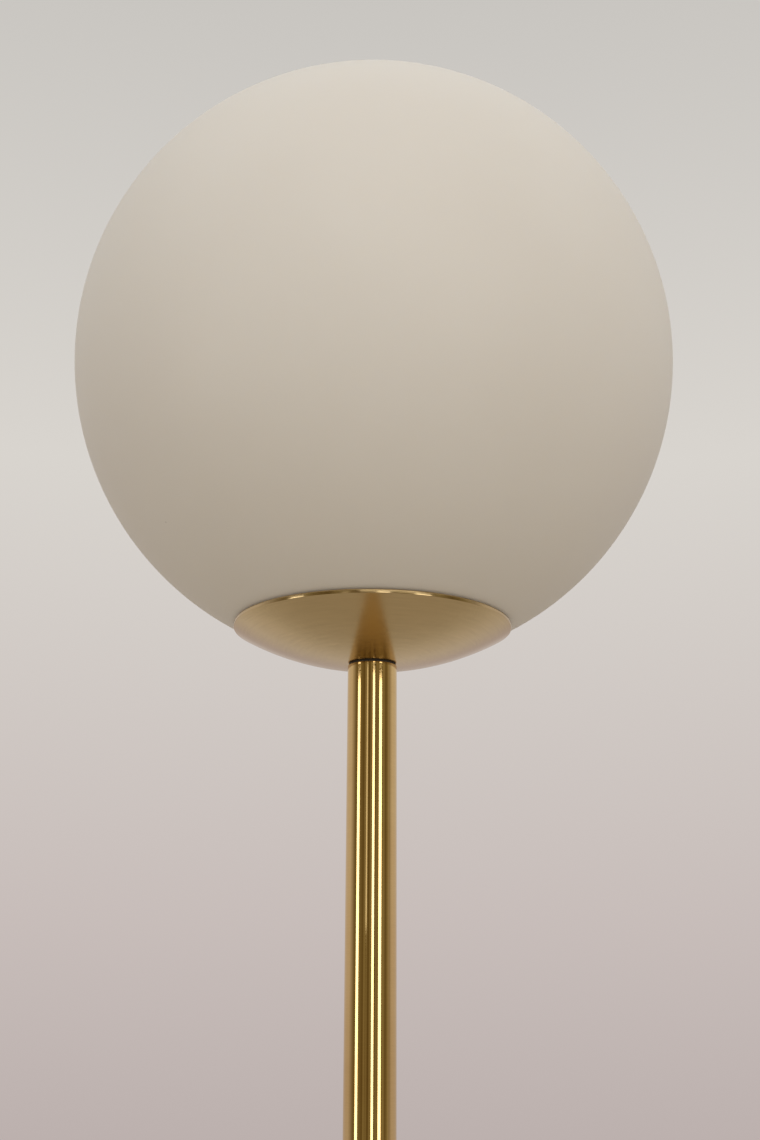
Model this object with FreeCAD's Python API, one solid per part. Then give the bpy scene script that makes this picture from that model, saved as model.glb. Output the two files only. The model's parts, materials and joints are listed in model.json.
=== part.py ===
import FreeCAD, Part
import math
import os

# Globe floor lamp: an opal glass globe that sits in a shallow brass dish, on a plain brass stem and a round
# weighted base with a foot switch. Millimetres, +Z up. The origin is the middle of the base's underside, on
# the floor, and the front is towards -Y. Each separate piece of the lamp is written to parts/NAME.step.

# Globe
globe_diameter = 280.0
glass_wall = 3.5
globe_hole_diameter = 80.0
hole_edge_round = 0.8
globe_lift_room = 20.0  # how far the hole's edge clears the bulb when the globe is lifted off

# Dish
dish_rim_diameter = 125.0
dish_curve_radius = 128.4  # of the outside
dish_wall = 1.5
dish_seat_margin = 1.5  # width of the flat round the stem's end
rim_gap = 0.4
seat_ring_diameter = 94.0
seat_ring_width = 8.0
seat_ring_thickness = 1.5
seat_clearance = 0.3  # between the glass and the soft ring

# Stem
stem_diameter = 22.0
stem_wall = 1.5
stem_length = 1200.0
stem_washer_thickness = 0.8
stem_washer_inset = 0.5  # the washers stand back from the stem's surface
stem_edge_chamfer = 0.3
stem_plug_length = 20.0

# Threaded nipples, nuts and washers at the two ends of the stem
nipple_diameter = 10.0
nipple_bore = 7.5
nipple_in_plug = 16.0
thread_clearance = 0.05
hole_clearance = 0.2
nut_across_flats = 14.0
nut_thickness = 3.0
nut_chamfer_angle = 30.0
lock_washer_diameter = 17.0
lock_washer_thickness = 0.8
foot_washer_diameter = 24.0
foot_washer_thickness = 1.5
nipple_below_nut = 1.0

# Gallery plate and the springs that hold the globe
spacer_diameter = 22.0
spacer_height = 3.5
gallery_diameter = 54.0
gallery_thickness = 1.2
gallery_vent_diameter = 8.0
gallery_vent_circle = 36.0
spring_count = 3
spring_first_angle = 90.0
spring_width = 9.0
spring_thickness = 0.5
spring_foot_length = 13.0
spring_bend_radius = 2.0
spring_clearance = 0.3  # between a spring's nose and the edge of the hole in the globe
spring_lead_in = 6.0
spring_tail_height = 14.0
rivet_diameter = 2.6
rivet_head_diameter = 4.8
rivet_head_height = 1.0

# Lampholder, measured up from the top nut
holder_neck_diameter = 17.0
holder_neck_height = 5.0
holder_thread_depth = 8.0
holder_cap_diameter = 37.0
holder_shoulder_height = 12.0
holder_cap_height = 22.0
holder_spigot_length = 8.0
holder_wall = 2.0
holder_skirt_diameter = 39.6
holder_skirt_length = 38.0
holder_mouth_diameter = 30.0
holder_mouth_thickness = 2.5
holder_fit = 0.1
insert_height_above_nut = 18.0
insert_thickness = 9.0
insert_ledge = 1.5
terminal_size = 5.0
terminal_depth = 6.0
terminal_spacing = 18.0
shell_diameter = 26.9  # inside of the threaded shell
shell_wall = 0.45
shell_length = 27.5
shell_flange_bore = 18.0
contact_disc_diameter = 13.0
contact_disc_thickness = 0.8
contact_diameter = 4.0
contact_flange_diameter = 6.0
contact_flange_thickness = 1.0
contact_travel = 2.4
contact_proud = 2.2  # above the disc with the bulb screwed home
contact_well_floor = 1.2
contact_spring_wall = 0.6
running_clearance = 0.1

# Bulb, measured up from its tip
bulb_diameter = 60.0
bulb_length = 110.0
bulb_cap_diameter = 26.2
bulb_cap_length = 27.0
bulb_cap_wall = 0.4
bulb_tip_diameter = 9.6
bulb_tip_flat_diameter = 5.8
bulb_tip_height = 1.5
bulb_insulator_diameter = 21.0
bulb_insulator_height = 5.0
bulb_spigot_length = 12.0
bulb_neck_diameter = 28.4
bulb_neck_height = 32.0
bulb_waist = 1.5  # how far the housing's side is drawn in between neck and dome
bulb_dome_join = 70.0
bulb_dome_wall = 1.2
bulb_contact_gap = 0.1

# Base
base_diameter = 280.0
base_height = 24.0
cover_wall = 1.2
cover_edge_radius = 4.0
cover_lip_gap = 0.5  # from the plate's underside up to the cover's lower edge
cover_fit = 0.5
pad_inset = 6.0  # from the base's side in to the pad
pad_width = 38.0
pad_thickness = 2.5
plate_thickness = 1.5
nut_recess_diameter = 30.0
nut_recess_web = 6.5
pocket_overlap = 2.0  # how far the pocket runs into the nut recess
pocket_width = 44.0
pocket_inset = 22.0  # from the base's side in to the end of the pocket
pocket_corner_radius = 10.0
pocket_web = 4.0
plate_screw_inset = 21.0  # from the pad in to the screws
plate_screw_count = 4
plate_screw_first_angle = 45.0
plate_screw_diameter = 3.8
plate_screw_head_diameter = 7.6
plate_screw_head_height = 2.0
plate_screw_length = 8.0

# Foot switch in the base
switch_inset = 26.0  # from the end of the pocket in to the switch's axis
switch_body_diameter = 30.0
switch_body_floor = 2.0
switch_floor_gap = 1.0
switch_neck_diameter = 22.0
switch_neck_wall = 1.8
switch_bezel_diameter = 30.0
switch_bezel_height = 3.0
switch_bezel_chamfer = 0.8
button_clearance = 0.2
button_proud = 7.0
button_travel = 4.0
button_dome = 2.0
button_flange_width = 1.1
button_flange_thickness = 1.2
button_hollow_diameter = 13.0
button_crown = 4.0
switch_shoulder = 1.8
spring_wire = 0.9

# Cord inlet at the back of the base
bush_diameter = 10.0
bush_bore = 6.8
bush_flange_diameter = 15.0
bush_flange_thickness = 2.4
bush_nut_across_flats = 13.0
bush_nut_thickness = 4.0
bush_end_length = 2.0

# Heads of the slotted screws, as shares of the head's diameter or height
head_flat_share = 0.75
head_side_share = 0.5
slot_width_share = 0.14
slot_depth_share = 0.5

# Wiring inside the base and stem
core_diameter = 2.3
core_spacing = 3.0
core_bend_radius = 5.0
core_small_bend_radius = 2.5
core_height = 7.0
core_grip = 5.0  # length of a core held in a terminal
core_spread_start = 0.15  # where the cores part, as a share of the way from the cap's floor to the porcelain
core_spread_end = 0.75
switch_entry_depth = 4.0
block_width = 24.0
block_depth = 16.0
block_height = 12.0
block_pole_spacing = 8.0
block_bore = 3.2
block_screw_diameter = 2.6
block_screw_head_diameter = 3.6
block_screw_head_height = 1.2
block_screw_spacing = 8.0
block_screw_grip = 2.0  # length of screw in the iron
clamp_slot_width = 0.5
earth_screw_diameter = 3.4
earth_screw_head_diameter = 6.2
earth_screw_head_height = 2.0
earth_screw_grip = 3.6
earth_tag_diameter = 8.0
earth_tag_thickness = 0.8
earth_tag_length = 12.0
earth_screw_inset = 7.0  # from the pocket's side in to the screw

# Sizes and heights that follow from those above
globe_radius = globe_diameter / 2
globe_hole_radius = globe_hole_diameter / 2
stem_radius = stem_diameter / 2
stem_bore_radius = stem_radius - stem_wall
nipple_radius = nipple_diameter / 2
core_radius = core_diameter / 2
base_radius = base_diameter / 2
dish_rim_radius = dish_rim_diameter / 2
dish_inner_curve = dish_curve_radius - dish_wall
clear_hole_radius = nipple_radius + hole_clearance
threaded_hole_radius = nipple_radius + thread_clearance

plate_top = pad_thickness + plate_thickness
cover_underside = base_height - cover_wall
ballast_radius = base_radius - cover_wall - cover_fit
pocket_ceiling = cover_underside - pocket_web
recess_ceiling = cover_underside - nut_recess_web
recess_radius = nut_recess_diameter / 2
pocket_start = recess_radius - pocket_overlap
pocket_end = base_radius - pocket_inset
pad_outer_radius = base_radius - pad_inset
pad_inner_radius = pad_outer_radius - pad_width
switch_offset = pocket_end - switch_inset  # behind the stem's axis
switch_front = switch_offset - switch_body_diameter / 2
block_offset = (recess_radius + switch_front) / 2
block_front = block_offset - block_depth / 2
block_back = block_offset + block_depth / 2
earth_screw_x = earth_screw_inset - pocket_width / 2
earth_screw_y = (block_back + switch_front) / 2
inlet_height = (plate_top + pocket_ceiling) / 2

stem_foot = base_height + stem_washer_thickness
stem_top = stem_foot + stem_length
dish_seat = stem_top + stem_washer_thickness
dish_seat_radius = stem_radius + dish_seat_margin
dish_centre = dish_seat + math.sqrt(dish_curve_radius ** 2 - dish_seat_radius ** 2)
dish_floor = dish_seat + dish_wall

gallery_underside = dish_floor + spacer_height
gallery_top = gallery_underside + gallery_thickness
top_nut_underside = gallery_top + lock_washer_thickness
holder_bottom = top_nut_underside + nut_thickness
holder_spigot_radius = holder_cap_diameter / 2 - holder_wall / 2
insert_underside = holder_bottom + insert_height_above_nut
insert_top = insert_underside + insert_thickness
contact_tip = insert_top + contact_disc_thickness + contact_proud
contact_flange_top = insert_top - contact_travel - running_clearance
bulb_tip = contact_tip + bulb_contact_gap


def point(radius, height):
    return FreeCAD.Vector(radius, 0, height)


def below_centre(radius, centre, across):
    """Height of a sphere's underside at a distance across from its axis."""
    return centre - math.sqrt(radius ** 2 - across ** 2)


def cap_height(radius, rise, across):
    """Height, above its edge, of a spherical cap at a distance across from its axis."""
    ball = (radius ** 2 + rise ** 2) / (2 * rise)
    return rise - ball + math.sqrt(ball ** 2 - across ** 2)


def outline(start, *steps):
    """Closed face in the XZ plane. A step is a (radius, height) for a line, or two of them for an arc."""
    edges = []
    here = point(*start)
    for step in steps:
        if isinstance(step[0], tuple):
            through, there = point(*step[0]), point(*step[1])
            edges.append(Part.Arc(here, through, there).toShape())
        else:
            there = point(*step)
            edges.append(Part.LineSegment(here, there).toShape())
        here = there
    if not here.isEqual(point(*start), 1e-6):
        edges.append(Part.LineSegment(here, point(*start)).toShape())
    return Part.Face(Part.Wire(edges))


def turned(start, *steps):
    """Solid turned about the Z axis from such an outline."""
    return outline(start, *steps).revolve(FreeCAD.Vector(0, 0, 0), FreeCAD.Vector(0, 0, 1), 360)


def rounded_corner(radius, height, size):
    """Quarter arc from an upright side in to a flat top, as a step of an outline."""
    inset = size * (1 - math.sqrt(0.5))
    return (radius - inset, height - inset), (radius - size, height)


def cylinder(radius, bottom, top, x=0.0, y=0.0):
    return Part.makeCylinder(radius, top - bottom, FreeCAD.Vector(x, y, bottom))


def ring(outer_radius, inner_radius, bottom, top, x=0.0, y=0.0):
    return cylinder(outer_radius, bottom, top, x, y).cut(cylinder(inner_radius, bottom, top, x, y))


def lying_cylinder(radius, x, z, front, back):
    """Cylinder along Y."""
    return Part.makeCylinder(radius, back - front, FreeCAD.Vector(x, front, z), FreeCAD.Vector(0, 1, 0))


def hexagon(across_flats, bottom, top):
    corner = across_flats / math.sqrt(3)
    angles = [math.radians(60 * k) for k in range(7)]
    corners = [FreeCAD.Vector(corner * math.cos(a), corner * math.sin(a), bottom) for a in angles]
    return Part.Face(Part.makePolygon(corners)).extrude(FreeCAD.Vector(0, 0, top - bottom))


def hex_nut(across_flats, bore_radius, bottom, top):
    """Nut with its corners turned off on both faces, as a nut's are."""
    corner = across_flats / math.sqrt(3)
    flat = across_flats / 2
    slope = (corner - flat) * math.tan(math.radians(nut_chamfer_angle))
    blank = turned(
        (0, bottom), (flat, bottom), (corner, bottom + slope), (corner, top - slope), (flat, top), (0, top)
    )
    return hexagon(across_flats, bottom, top).common(blank).cut(cylinder(bore_radius, bottom, top))


def round_the_axis(shape, angle):
    return shape.rotated(FreeCAD.Vector(0, 0, 0), FreeCAD.Vector(0, 0, 1), angle)


def group(shapes):
    return Part.makeCompound(shapes)


def rounded_edges(points, radii):
    """Straight edges through the points, with a tangent arc of its own radius at each inner point."""
    edges = []
    here = points[0]
    for before, corner, after, radius in zip(points, points[1:], points[2:], radii):
        into = (corner - before).normalize()
        away = (after - corner).normalize()
        half_turn = into.getAngle(away) / 2
        reach = radius * math.tan(half_turn)
        inward = (away - into).normalize()
        centre = corner + inward * (radius / math.cos(half_turn))
        first, last = corner - into * reach, corner + away * reach
        edges.append(Part.LineSegment(here, first).toShape())
        edges.append(Part.Arc(first, centre - inward * radius, last).toShape())
        here = last
    edges.append(Part.LineSegment(here, points[-1]).toShape())
    return edges


def core_along(points, bend_radius):
    """Insulated core: a round bar along straight runs joined by arcs."""
    path = Part.Wire(rounded_edges(points, [bend_radius] * (len(points) - 2)))
    section = Part.Wire(Part.makeCircle(core_radius, points[0], points[1] - points[0]))
    return path.makePipeShell([section], True, False)


def bent_strip(points, inside_radius, thickness, width):
    """Flat strip bent in the XZ plane, with the points on its outer face and its thickness on their left."""
    across = FreeCAD.Vector(0, 1, 0)
    left = [across.cross(b - a).normalize() * -thickness for a, b in zip(points, points[1:])]
    offset = [points[0] + left[0]]
    outer_radii, inner_radii = [], []
    for corner, first, second in zip(points[1:], left, left[1:]):
        half_turn = first.getAngle(second) / 2
        mitre = (first + second).normalize() * (thickness / math.cos(half_turn))
        offset.append(corner + mitre)
        turns_left = first.cross(second).y < 0
        outer_radii.append(inside_radius + (thickness if turns_left else 0))
        inner_radii.append(inside_radius + (0 if turns_left else thickness))
    offset.append(points[-1] + left[-1])
    edges = rounded_edges(points, outer_radii)
    edges.append(Part.LineSegment(points[-1], offset[-1]).toShape())
    edges += rounded_edges(offset[::-1], inner_radii[::-1])
    edges.append(Part.LineSegment(offset[0], points[0]).toShape())
    face = Part.Face(Part.Wire(Part.__sortEdges__(edges)))
    face.translate(FreeCAD.Vector(0, -width / 2, 0))
    return face.extrude(FreeCAD.Vector(0, width, 0))


def globe_centre():
    """The glass stands on the soft ring, which lies on the inside of the dish."""
    across = seat_ring_diameter / 2
    bed = below_centre(dish_inner_curve, dish_centre, across)
    return bed + math.sqrt((globe_radius + seat_clearance + seat_ring_thickness) ** 2 - across ** 2)


def glass_globe(centre):
    """Blown sphere of even wall with a ground hole at the bottom, its outer edge rounded."""
    inner_radius = globe_radius - glass_wall
    outer_edge = below_centre(globe_radius, centre, globe_hole_radius)
    inner_edge = below_centre(inner_radius, centre, globe_hole_radius)
    sphere = turned(
        (globe_hole_radius, outer_edge),
        ((globe_radius, centre), (0, centre + globe_radius)),
        (0, centre + inner_radius),
        ((inner_radius, centre), (globe_hole_radius, inner_edge)),
    )
    edge = min(sphere.Edges, key=lambda e: e.BoundBox.ZMax)
    return sphere.makeFillet(hole_edge_round, [edge])


def brass_dish(centre):
    """Spun dish with a flat where the stem meets it, a part-spherical wall and a short upright rim."""
    wall = dish_wall
    rim_middle = dish_rim_radius - wall / 2
    rim_round = centre - math.sqrt((globe_radius + rim_gap + wall / 2) ** 2 - rim_middle ** 2)
    outer_end = below_centre(dish_curve_radius, dish_centre, dish_rim_radius)
    inner_end = below_centre(dish_inner_curve, dish_centre, dish_rim_radius - wall)
    flat = math.sqrt(dish_inner_curve ** 2 - (dish_centre - dish_floor) ** 2)
    halfway = dish_rim_radius / 2
    dish = turned(
        (clear_hole_radius, dish_seat),
        (dish_seat_radius, dish_seat),
        (
            (halfway, below_centre(dish_curve_radius, dish_centre, halfway)),
            (dish_rim_radius, outer_end),
        ),
        (dish_rim_radius, rim_round),
        ((rim_middle, rim_round + wall / 2), (dish_rim_radius - wall, rim_round)),
        (dish_rim_radius - wall, inner_end),
        ((halfway, below_centre(dish_inner_curve, dish_centre, halfway)), (flat, dish_floor)),
        (clear_hole_radius, dish_floor),
    )
    return dish


def soft_ring(centre):
    """Silicone ring that fills the gap between the dish and the glass."""
    middle = seat_ring_diameter / 2
    near, far = middle - seat_ring_width / 2, middle + seat_ring_width / 2
    bed = dish_inner_curve - thread_clearance
    top = globe_radius + seat_clearance
    return turned(
        (near, below_centre(bed, dish_centre, near)),
        ((middle, below_centre(bed, dish_centre, middle)), (far, below_centre(bed, dish_centre, far))),
        (far, below_centre(top, centre, far)),
        ((middle, below_centre(top, centre, middle)), (near, below_centre(top, centre, near))),
    )


def spring_angles():
    return [spring_first_angle + 360 / spring_count * k for k in range(spring_count)]


def rivet_distance():
    """The rivets sit in the middle of the springs' feet."""
    return gallery_diameter / 2 - spring_foot_length / 2


def gallery():
    """Round plate clamped under the top nut, with a rivet hole for each spring and vents between them."""
    plate = ring(gallery_diameter / 2, clear_hole_radius, gallery_underside, gallery_top)
    for angle in spring_angles():
        rivet_hole = cylinder(rivet_diameter / 2, gallery_underside, gallery_top, rivet_distance())
        vent = cylinder(gallery_vent_diameter / 2, gallery_underside, gallery_top, gallery_vent_circle / 2)
        plate = plate.cut(round_the_axis(rivet_hole, angle))
        plate = plate.cut(round_the_axis(vent, angle + 180 / spring_count))
    return plate


def globe_spring(centre):
    """Leaf spring: a foot on the plate, a nose at the hole's edge and a tail turned in as a lead."""
    plate_edge = gallery_diameter / 2
    nose = globe_hole_radius - spring_clearance
    outer_edge = below_centre(globe_radius, centre, globe_hole_radius)
    inner_edge = below_centre(globe_radius - glass_wall, centre, globe_hole_radius)
    nose_height = (outer_edge + inner_edge) / 2
    strip = bent_strip(
        [
            point(plate_edge - spring_foot_length, gallery_top),
            point(plate_edge, gallery_top),
            point(nose, nose_height),
            point(nose - spring_lead_in, nose_height + spring_tail_height),
        ],
        spring_bend_radius,
        spring_thickness,
        spring_width,
    )
    hole = cylinder(rivet_diameter / 2, gallery_top, gallery_top + spring_thickness, rivet_distance())
    return strip.cut(hole)


def rivet():
    """Rivet with a domed head on the spring and a flat one under the plate."""
    shank = rivet_diameter / 2 - thread_clearance
    head = rivet_head_diameter / 2
    rise = rivet_head_height
    spring_top = gallery_top + spring_thickness
    solid = turned(
        (0, gallery_underside - rivet_head_height),
        (head, gallery_underside - rivet_head_height),
        (head, gallery_underside),
        (shank, gallery_underside),
        (shank, spring_top),
        (head, spring_top),
        ((head / 2, spring_top + cap_height(head, rise, head / 2)), (0, spring_top + rise)),
    )
    solid.translate(FreeCAD.Vector(rivet_distance(), 0, 0))
    return solid


def nipple(bottom, top):
    return ring(nipple_radius, nipple_bore / 2, bottom, top)


def head():
    """Dish, soft ring, springs, plate and fixings above the stem, and the globe."""
    centre = globe_centre()
    angles = spring_angles()
    return {
        "globe_glass": glass_globe(centre),
        "dish": brass_dish(centre),
        "seat_ring": soft_ring(centre),
        "dish_washer": ring(stem_radius - stem_washer_inset, clear_hole_radius, stem_top, dish_seat),
        "gallery_spacer": ring(spacer_diameter / 2, clear_hole_radius, dish_floor, gallery_underside),
        "gallery_plate": gallery(),
        "globe_springs": group([round_the_axis(globe_spring(centre), a) for a in angles]),
        "spring_rivets": group([round_the_axis(rivet(), a) for a in angles]),
        "top_lock_washer": ring(lock_washer_diameter / 2, clear_hole_radius, gallery_top, top_nut_underside),
        "top_nut": hex_nut(nut_across_flats, threaded_hole_radius, top_nut_underside, holder_bottom),
        "top_nipple": nipple(stem_top - nipple_in_plug, holder_bottom + holder_thread_depth),
    }


def stem():
    """Brass tube with a threaded plug brazed into each end."""
    foot_edge = stem_foot + stem_edge_chamfer
    top_edge = stem_top - stem_edge_chamfer
    tube = turned(
        (stem_bore_radius, stem_foot),
        (stem_radius - stem_edge_chamfer, stem_foot),
        (stem_radius, foot_edge),
        (stem_radius, top_edge),
        (stem_radius - stem_edge_chamfer, stem_top),
        (stem_bore_radius, stem_top),
    )
    plug_radius = stem_bore_radius - thread_clearance
    return {
        "stem_tube": tube,
        "stem_top_plug": ring(plug_radius, threaded_hole_radius, stem_top - stem_plug_length, stem_top),
        "stem_foot_plug": ring(plug_radius, threaded_hole_radius, stem_foot, stem_foot + stem_plug_length),
    }


def holder_cap():
    """Lower half of the lampholder: a threaded neck, a cone and a round shell with a spigot on top."""
    cap_radius = holder_cap_diameter / 2
    neck = holder_neck_diameter / 2
    shoulder = holder_bottom + holder_shoulder_height
    step = holder_bottom + holder_cap_height
    inner = holder_spigot_radius - holder_wall
    thread_end = holder_bottom + holder_thread_depth
    return turned(
        (threaded_hole_radius, holder_bottom),
        (neck, holder_bottom),
        (neck, holder_bottom + holder_neck_height),
        (cap_radius, shoulder),
        (cap_radius, step),
        (holder_spigot_radius, step),
        (holder_spigot_radius, step + holder_spigot_length),
        (inner, step + holder_spigot_length),
        (inner, insert_underside),
        (inner - insert_ledge, insert_underside),
        (inner - insert_ledge, shoulder + holder_wall),
        (neck, thread_end),
        (threaded_hole_radius, thread_end),
    )


def holder_skirt():
    """Upper half of the lampholder: a plain sleeve with a narrower mouth round the bulb's neck."""
    bottom = holder_bottom + holder_cap_height
    top = bottom + holder_skirt_length
    outer = holder_skirt_diameter / 2
    inner = holder_spigot_radius + holder_fit
    mouth = holder_mouth_diameter / 2
    lip = top - holder_mouth_thickness
    edge = holder_wall / 2
    return turned(
        (inner, bottom),
        (outer, bottom),
        (outer, top - edge),
        rounded_corner(outer, top, edge),
        (mouth, top),
        (mouth, lip),
        (inner, lip),
    )


def holder_insert():
    """Porcelain block that carries the contacts: two terminal pockets below and a well on top."""
    radius = holder_spigot_radius - holder_wall - holder_fit
    block = cylinder(radius, insert_underside, insert_top)
    well = contact_flange_diameter / 2 + running_clearance
    block = block.cut(cylinder(well, insert_underside + contact_well_floor, insert_top))
    room = terminal_size + 2 * holder_fit
    for side in (-1, 1):
        corner = FreeCAD.Vector(side * terminal_spacing / 2 - room / 2, -room / 2, insert_underside)
        block = block.cut(Part.makeBox(room, room, terminal_depth, corner))
    return block


def holder_terminals():
    """Two brass terminal blocks, bored from below for the cores."""
    blocks = []
    for side in (-1, 1):
        middle = side * terminal_spacing / 2
        corner = FreeCAD.Vector(middle - terminal_size / 2, -terminal_size / 2, insert_underside)
        block = Part.makeBox(terminal_size, terminal_size, terminal_depth, corner)
        bore = core_radius + hole_clearance
        blocks.append(block.cut(cylinder(bore, insert_underside, insert_underside + core_grip, middle)))
    return group(blocks)


def screw_shell():
    """Threaded shell of the lampholder, with a foot flange on the porcelain."""
    inner = shell_diameter / 2
    outer = inner + shell_wall
    flange = shell_flange_bore / 2
    return turned(
        (flange, insert_top),
        (outer, insert_top),
        (outer, insert_top + shell_length),
        (inner, insert_top + shell_length),
        (inner, insert_top + shell_wall),
        (flange, insert_top + shell_wall),
    )


def centre_contact():
    """Sprung pin under the bulb's tip."""
    pin = contact_diameter / 2
    flange = contact_flange_diameter / 2
    flange_bottom = contact_flange_top - contact_flange_thickness
    crown = pin / 2
    return turned(
        (0, flange_bottom),
        (flange, flange_bottom),
        (flange, contact_flange_top),
        (pin, contact_flange_top),
        (pin, contact_tip - crown),
        (pin - crown, contact_tip),
        (0, contact_tip),
    )


def lampholder():
    disc_bore = contact_diameter / 2 + running_clearance
    disc_top = insert_top + contact_disc_thickness
    spring_radius = contact_flange_diameter / 2 - running_clearance
    spring_bottom = insert_underside + contact_well_floor
    spring_top = contact_flange_top - contact_flange_thickness
    return {
        "holder_cap": holder_cap(),
        "holder_skirt": holder_skirt(),
        "holder_insert": holder_insert(),
        "holder_terminals": holder_terminals(),
        "screw_shell": screw_shell(),
        "contact_disc": ring(contact_disc_diameter / 2, disc_bore, insert_top, disc_top),
        "centre_contact": centre_contact(),
        "contact_spring": ring(
            spring_radius, spring_radius - contact_spring_wall, spring_bottom, spring_top
        ),
    }


def bulb():
    """Screw-in bulb: tip, black insulator, threaded cap, white housing and frosted dome."""
    tip = bulb_tip_diameter / 2
    insulator = bulb_insulator_diameter / 2
    cap = bulb_cap_diameter / 2
    neck = bulb_neck_diameter / 2
    dome = bulb_diameter / 2
    spigot = cap - bulb_cap_wall - thread_clearance
    insulator_foot = bulb_tip + bulb_tip_height
    insulator_top = bulb_tip + bulb_tip_height + bulb_insulator_height
    cap_top = bulb_tip + bulb_cap_length
    cap_shoulder = insulator_top + (cap - insulator)
    spigot_bottom = cap_top - bulb_spigot_length
    neck_top = bulb_tip + bulb_neck_height
    dome_centre = bulb_tip + bulb_length - dome
    join = bulb_tip + bulb_dome_join
    join_radius = math.sqrt(dome ** 2 - (dome_centre - join) ** 2)
    inner_dome = dome - bulb_dome_wall
    inner_join_radius = math.sqrt(inner_dome ** 2 - (dome_centre - join) ** 2)
    middle_height = (neck_top + join) / 2
    middle_radius = (neck + join_radius) / 2
    return {
        "bulb_tip": turned(
            (0, bulb_tip), (bulb_tip_flat_diameter / 2, bulb_tip), (tip, insulator_foot), (0, insulator_foot)
        ),
        "bulb_insulator": turned(
            (0, insulator_foot), (tip, insulator_foot), (insulator, insulator_top), (0, insulator_top)
        ),
        "bulb_cap": turned(
            (0, insulator_top),
            (insulator, insulator_top),
            (cap, cap_shoulder),
            (cap, cap_top),
            (cap - bulb_cap_wall, cap_top),
            (cap - bulb_cap_wall, cap_shoulder),
            (insulator - bulb_cap_wall, insulator_top + bulb_cap_wall),
            (0, insulator_top + bulb_cap_wall),
        ),
        "bulb_housing": turned(
            (0, spigot_bottom),
            (spigot, spigot_bottom),
            (spigot, cap_top),
            (cap, cap_top),
            (neck, neck_top),
            ((middle_radius - bulb_waist, middle_height), (join_radius, join)),
            (0, join),
        ),
        "bulb_dome": turned(
            (inner_join_radius, join),
            (join_radius, join),
            ((dome, dome_centre), (0, dome_centre + dome)),
            (0, dome_centre + inner_dome),
            ((inner_dome, dome_centre), (inner_join_radius, join)),
        ),
    }


def plate_screw_places():
    radius = pad_inner_radius - plate_screw_inset
    step = 360 / plate_screw_count
    angles = [math.radians(plate_screw_first_angle + step * k) for k in range(plate_screw_count)]
    return [(radius * math.cos(a), radius * math.sin(a)) for a in angles]


def block_screw_places():
    """Fixing screws of the terminal block, between its poles."""
    return [(side * block_pole_spacing / 2, block_offset) for side in (-1, 1)]


def base_cover():
    """Spun brass cover: flat top, rounded edge, upright side."""
    edge = cover_edge_radius
    inner_radius = base_radius - cover_wall
    inner_edge = edge - cover_wall
    inner_middle, inner_flat_end = rounded_corner(inner_radius, cover_underside, inner_edge)
    lip = pad_thickness + cover_lip_gap
    cover = turned(
        (inner_radius, lip),
        (base_radius, lip),
        (base_radius, base_height - edge),
        rounded_corner(base_radius, base_height, edge),
        (clear_hole_radius, base_height),
        (clear_hole_radius, cover_underside),
        inner_flat_end,
        (inner_middle, (inner_radius, cover_underside - inner_edge)),
    )
    switch_hole = switch_neck_diameter / 2 + hole_clearance
    cover = cover.cut(cylinder(switch_hole, cover_underside, base_height, 0, switch_offset))
    inlet = bush_diameter / 2 + hole_clearance
    return cover.cut(lying_cylinder(inlet, 0, inlet_height, pocket_end, base_radius + cover_wall))


def ballast():
    """Cast-iron disc with a nut recess and a wiring pocket in its underside."""
    edge = cover_edge_radius
    disc = turned(
        (clear_hole_radius, plate_top),
        (ballast_radius, plate_top),
        (ballast_radius, cover_underside - edge),
        (ballast_radius - edge, cover_underside),
        (clear_hole_radius, cover_underside),
    )
    corner = FreeCAD.Vector(-pocket_width / 2, pocket_start, plate_top)
    pocket = Part.makeBox(pocket_width, pocket_end - pocket_start, pocket_ceiling - plate_top, corner)
    upright = [e for e in pocket.Edges if abs(e.tangentAt(e.FirstParameter).z) > 0.9]
    pocket = pocket.makeFillet(pocket_corner_radius, upright)
    disc = disc.cut(pocket).cut(cylinder(recess_radius, plate_top, recess_ceiling))
    switch_hole = switch_neck_diameter / 2 + hole_clearance
    disc = disc.cut(cylinder(switch_hole, pocket_ceiling, cover_underside, 0, switch_offset))
    inlet = bush_diameter / 2 + hole_clearance
    disc = disc.cut(lying_cylinder(inlet, 0, inlet_height, pocket_end - cover_fit, base_radius))
    for x, y in plate_screw_places():
        tapped = plate_screw_diameter / 2 + thread_clearance
        disc = disc.cut(cylinder(tapped, plate_top, plate_top + plate_screw_length, x, y))
    for x, y in block_screw_places():
        disc = disc.cut(cylinder(block_screw_diameter / 2, pocket_ceiling, cover_underside, x, y))
    return disc.cut(
        cylinder(earth_screw_diameter / 2, pocket_ceiling, cover_underside, earth_screw_x, earth_screw_y)
    )


def pan_screw(diameter, head_diameter, head_height, seat, length, x, y):
    """Screw driven upwards, its rounded head under the seat height, with a straight slot."""
    shank = diameter / 2 - thread_clearance
    crown = head_diameter / 2
    solid = turned(
        (0, seat - head_height),
        (crown * head_flat_share, seat - head_height),
        (crown, seat - head_height * head_side_share),
        (crown, seat),
        (shank, seat),
        (shank, seat + length),
        (0, seat + length),
    )
    slot_width = head_diameter * slot_width_share
    slot_depth = head_height * slot_depth_share
    corner = FreeCAD.Vector(-crown, -slot_width / 2, seat - head_height)
    solid = solid.cut(Part.makeBox(head_diameter, slot_width, slot_depth, corner))
    solid.translate(FreeCAD.Vector(x, y, 0))
    return solid


def base_plate():
    """Steel plate that closes the base from below."""
    plate = cylinder(ballast_radius, pad_thickness, plate_top)
    hole_radius = plate_screw_diameter / 2 + hole_clearance
    for x, y in plate_screw_places():
        plate = plate.cut(cylinder(hole_radius, pad_thickness, plate_top, x, y))
    return plate


def plate_screws():
    return group(
        [
            pan_screw(
                plate_screw_diameter,
                plate_screw_head_diameter,
                plate_screw_head_height,
                pad_thickness,
                plate_screw_length,
                x,
                y,
            )
            for x, y in plate_screw_places()
        ]
    )


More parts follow.
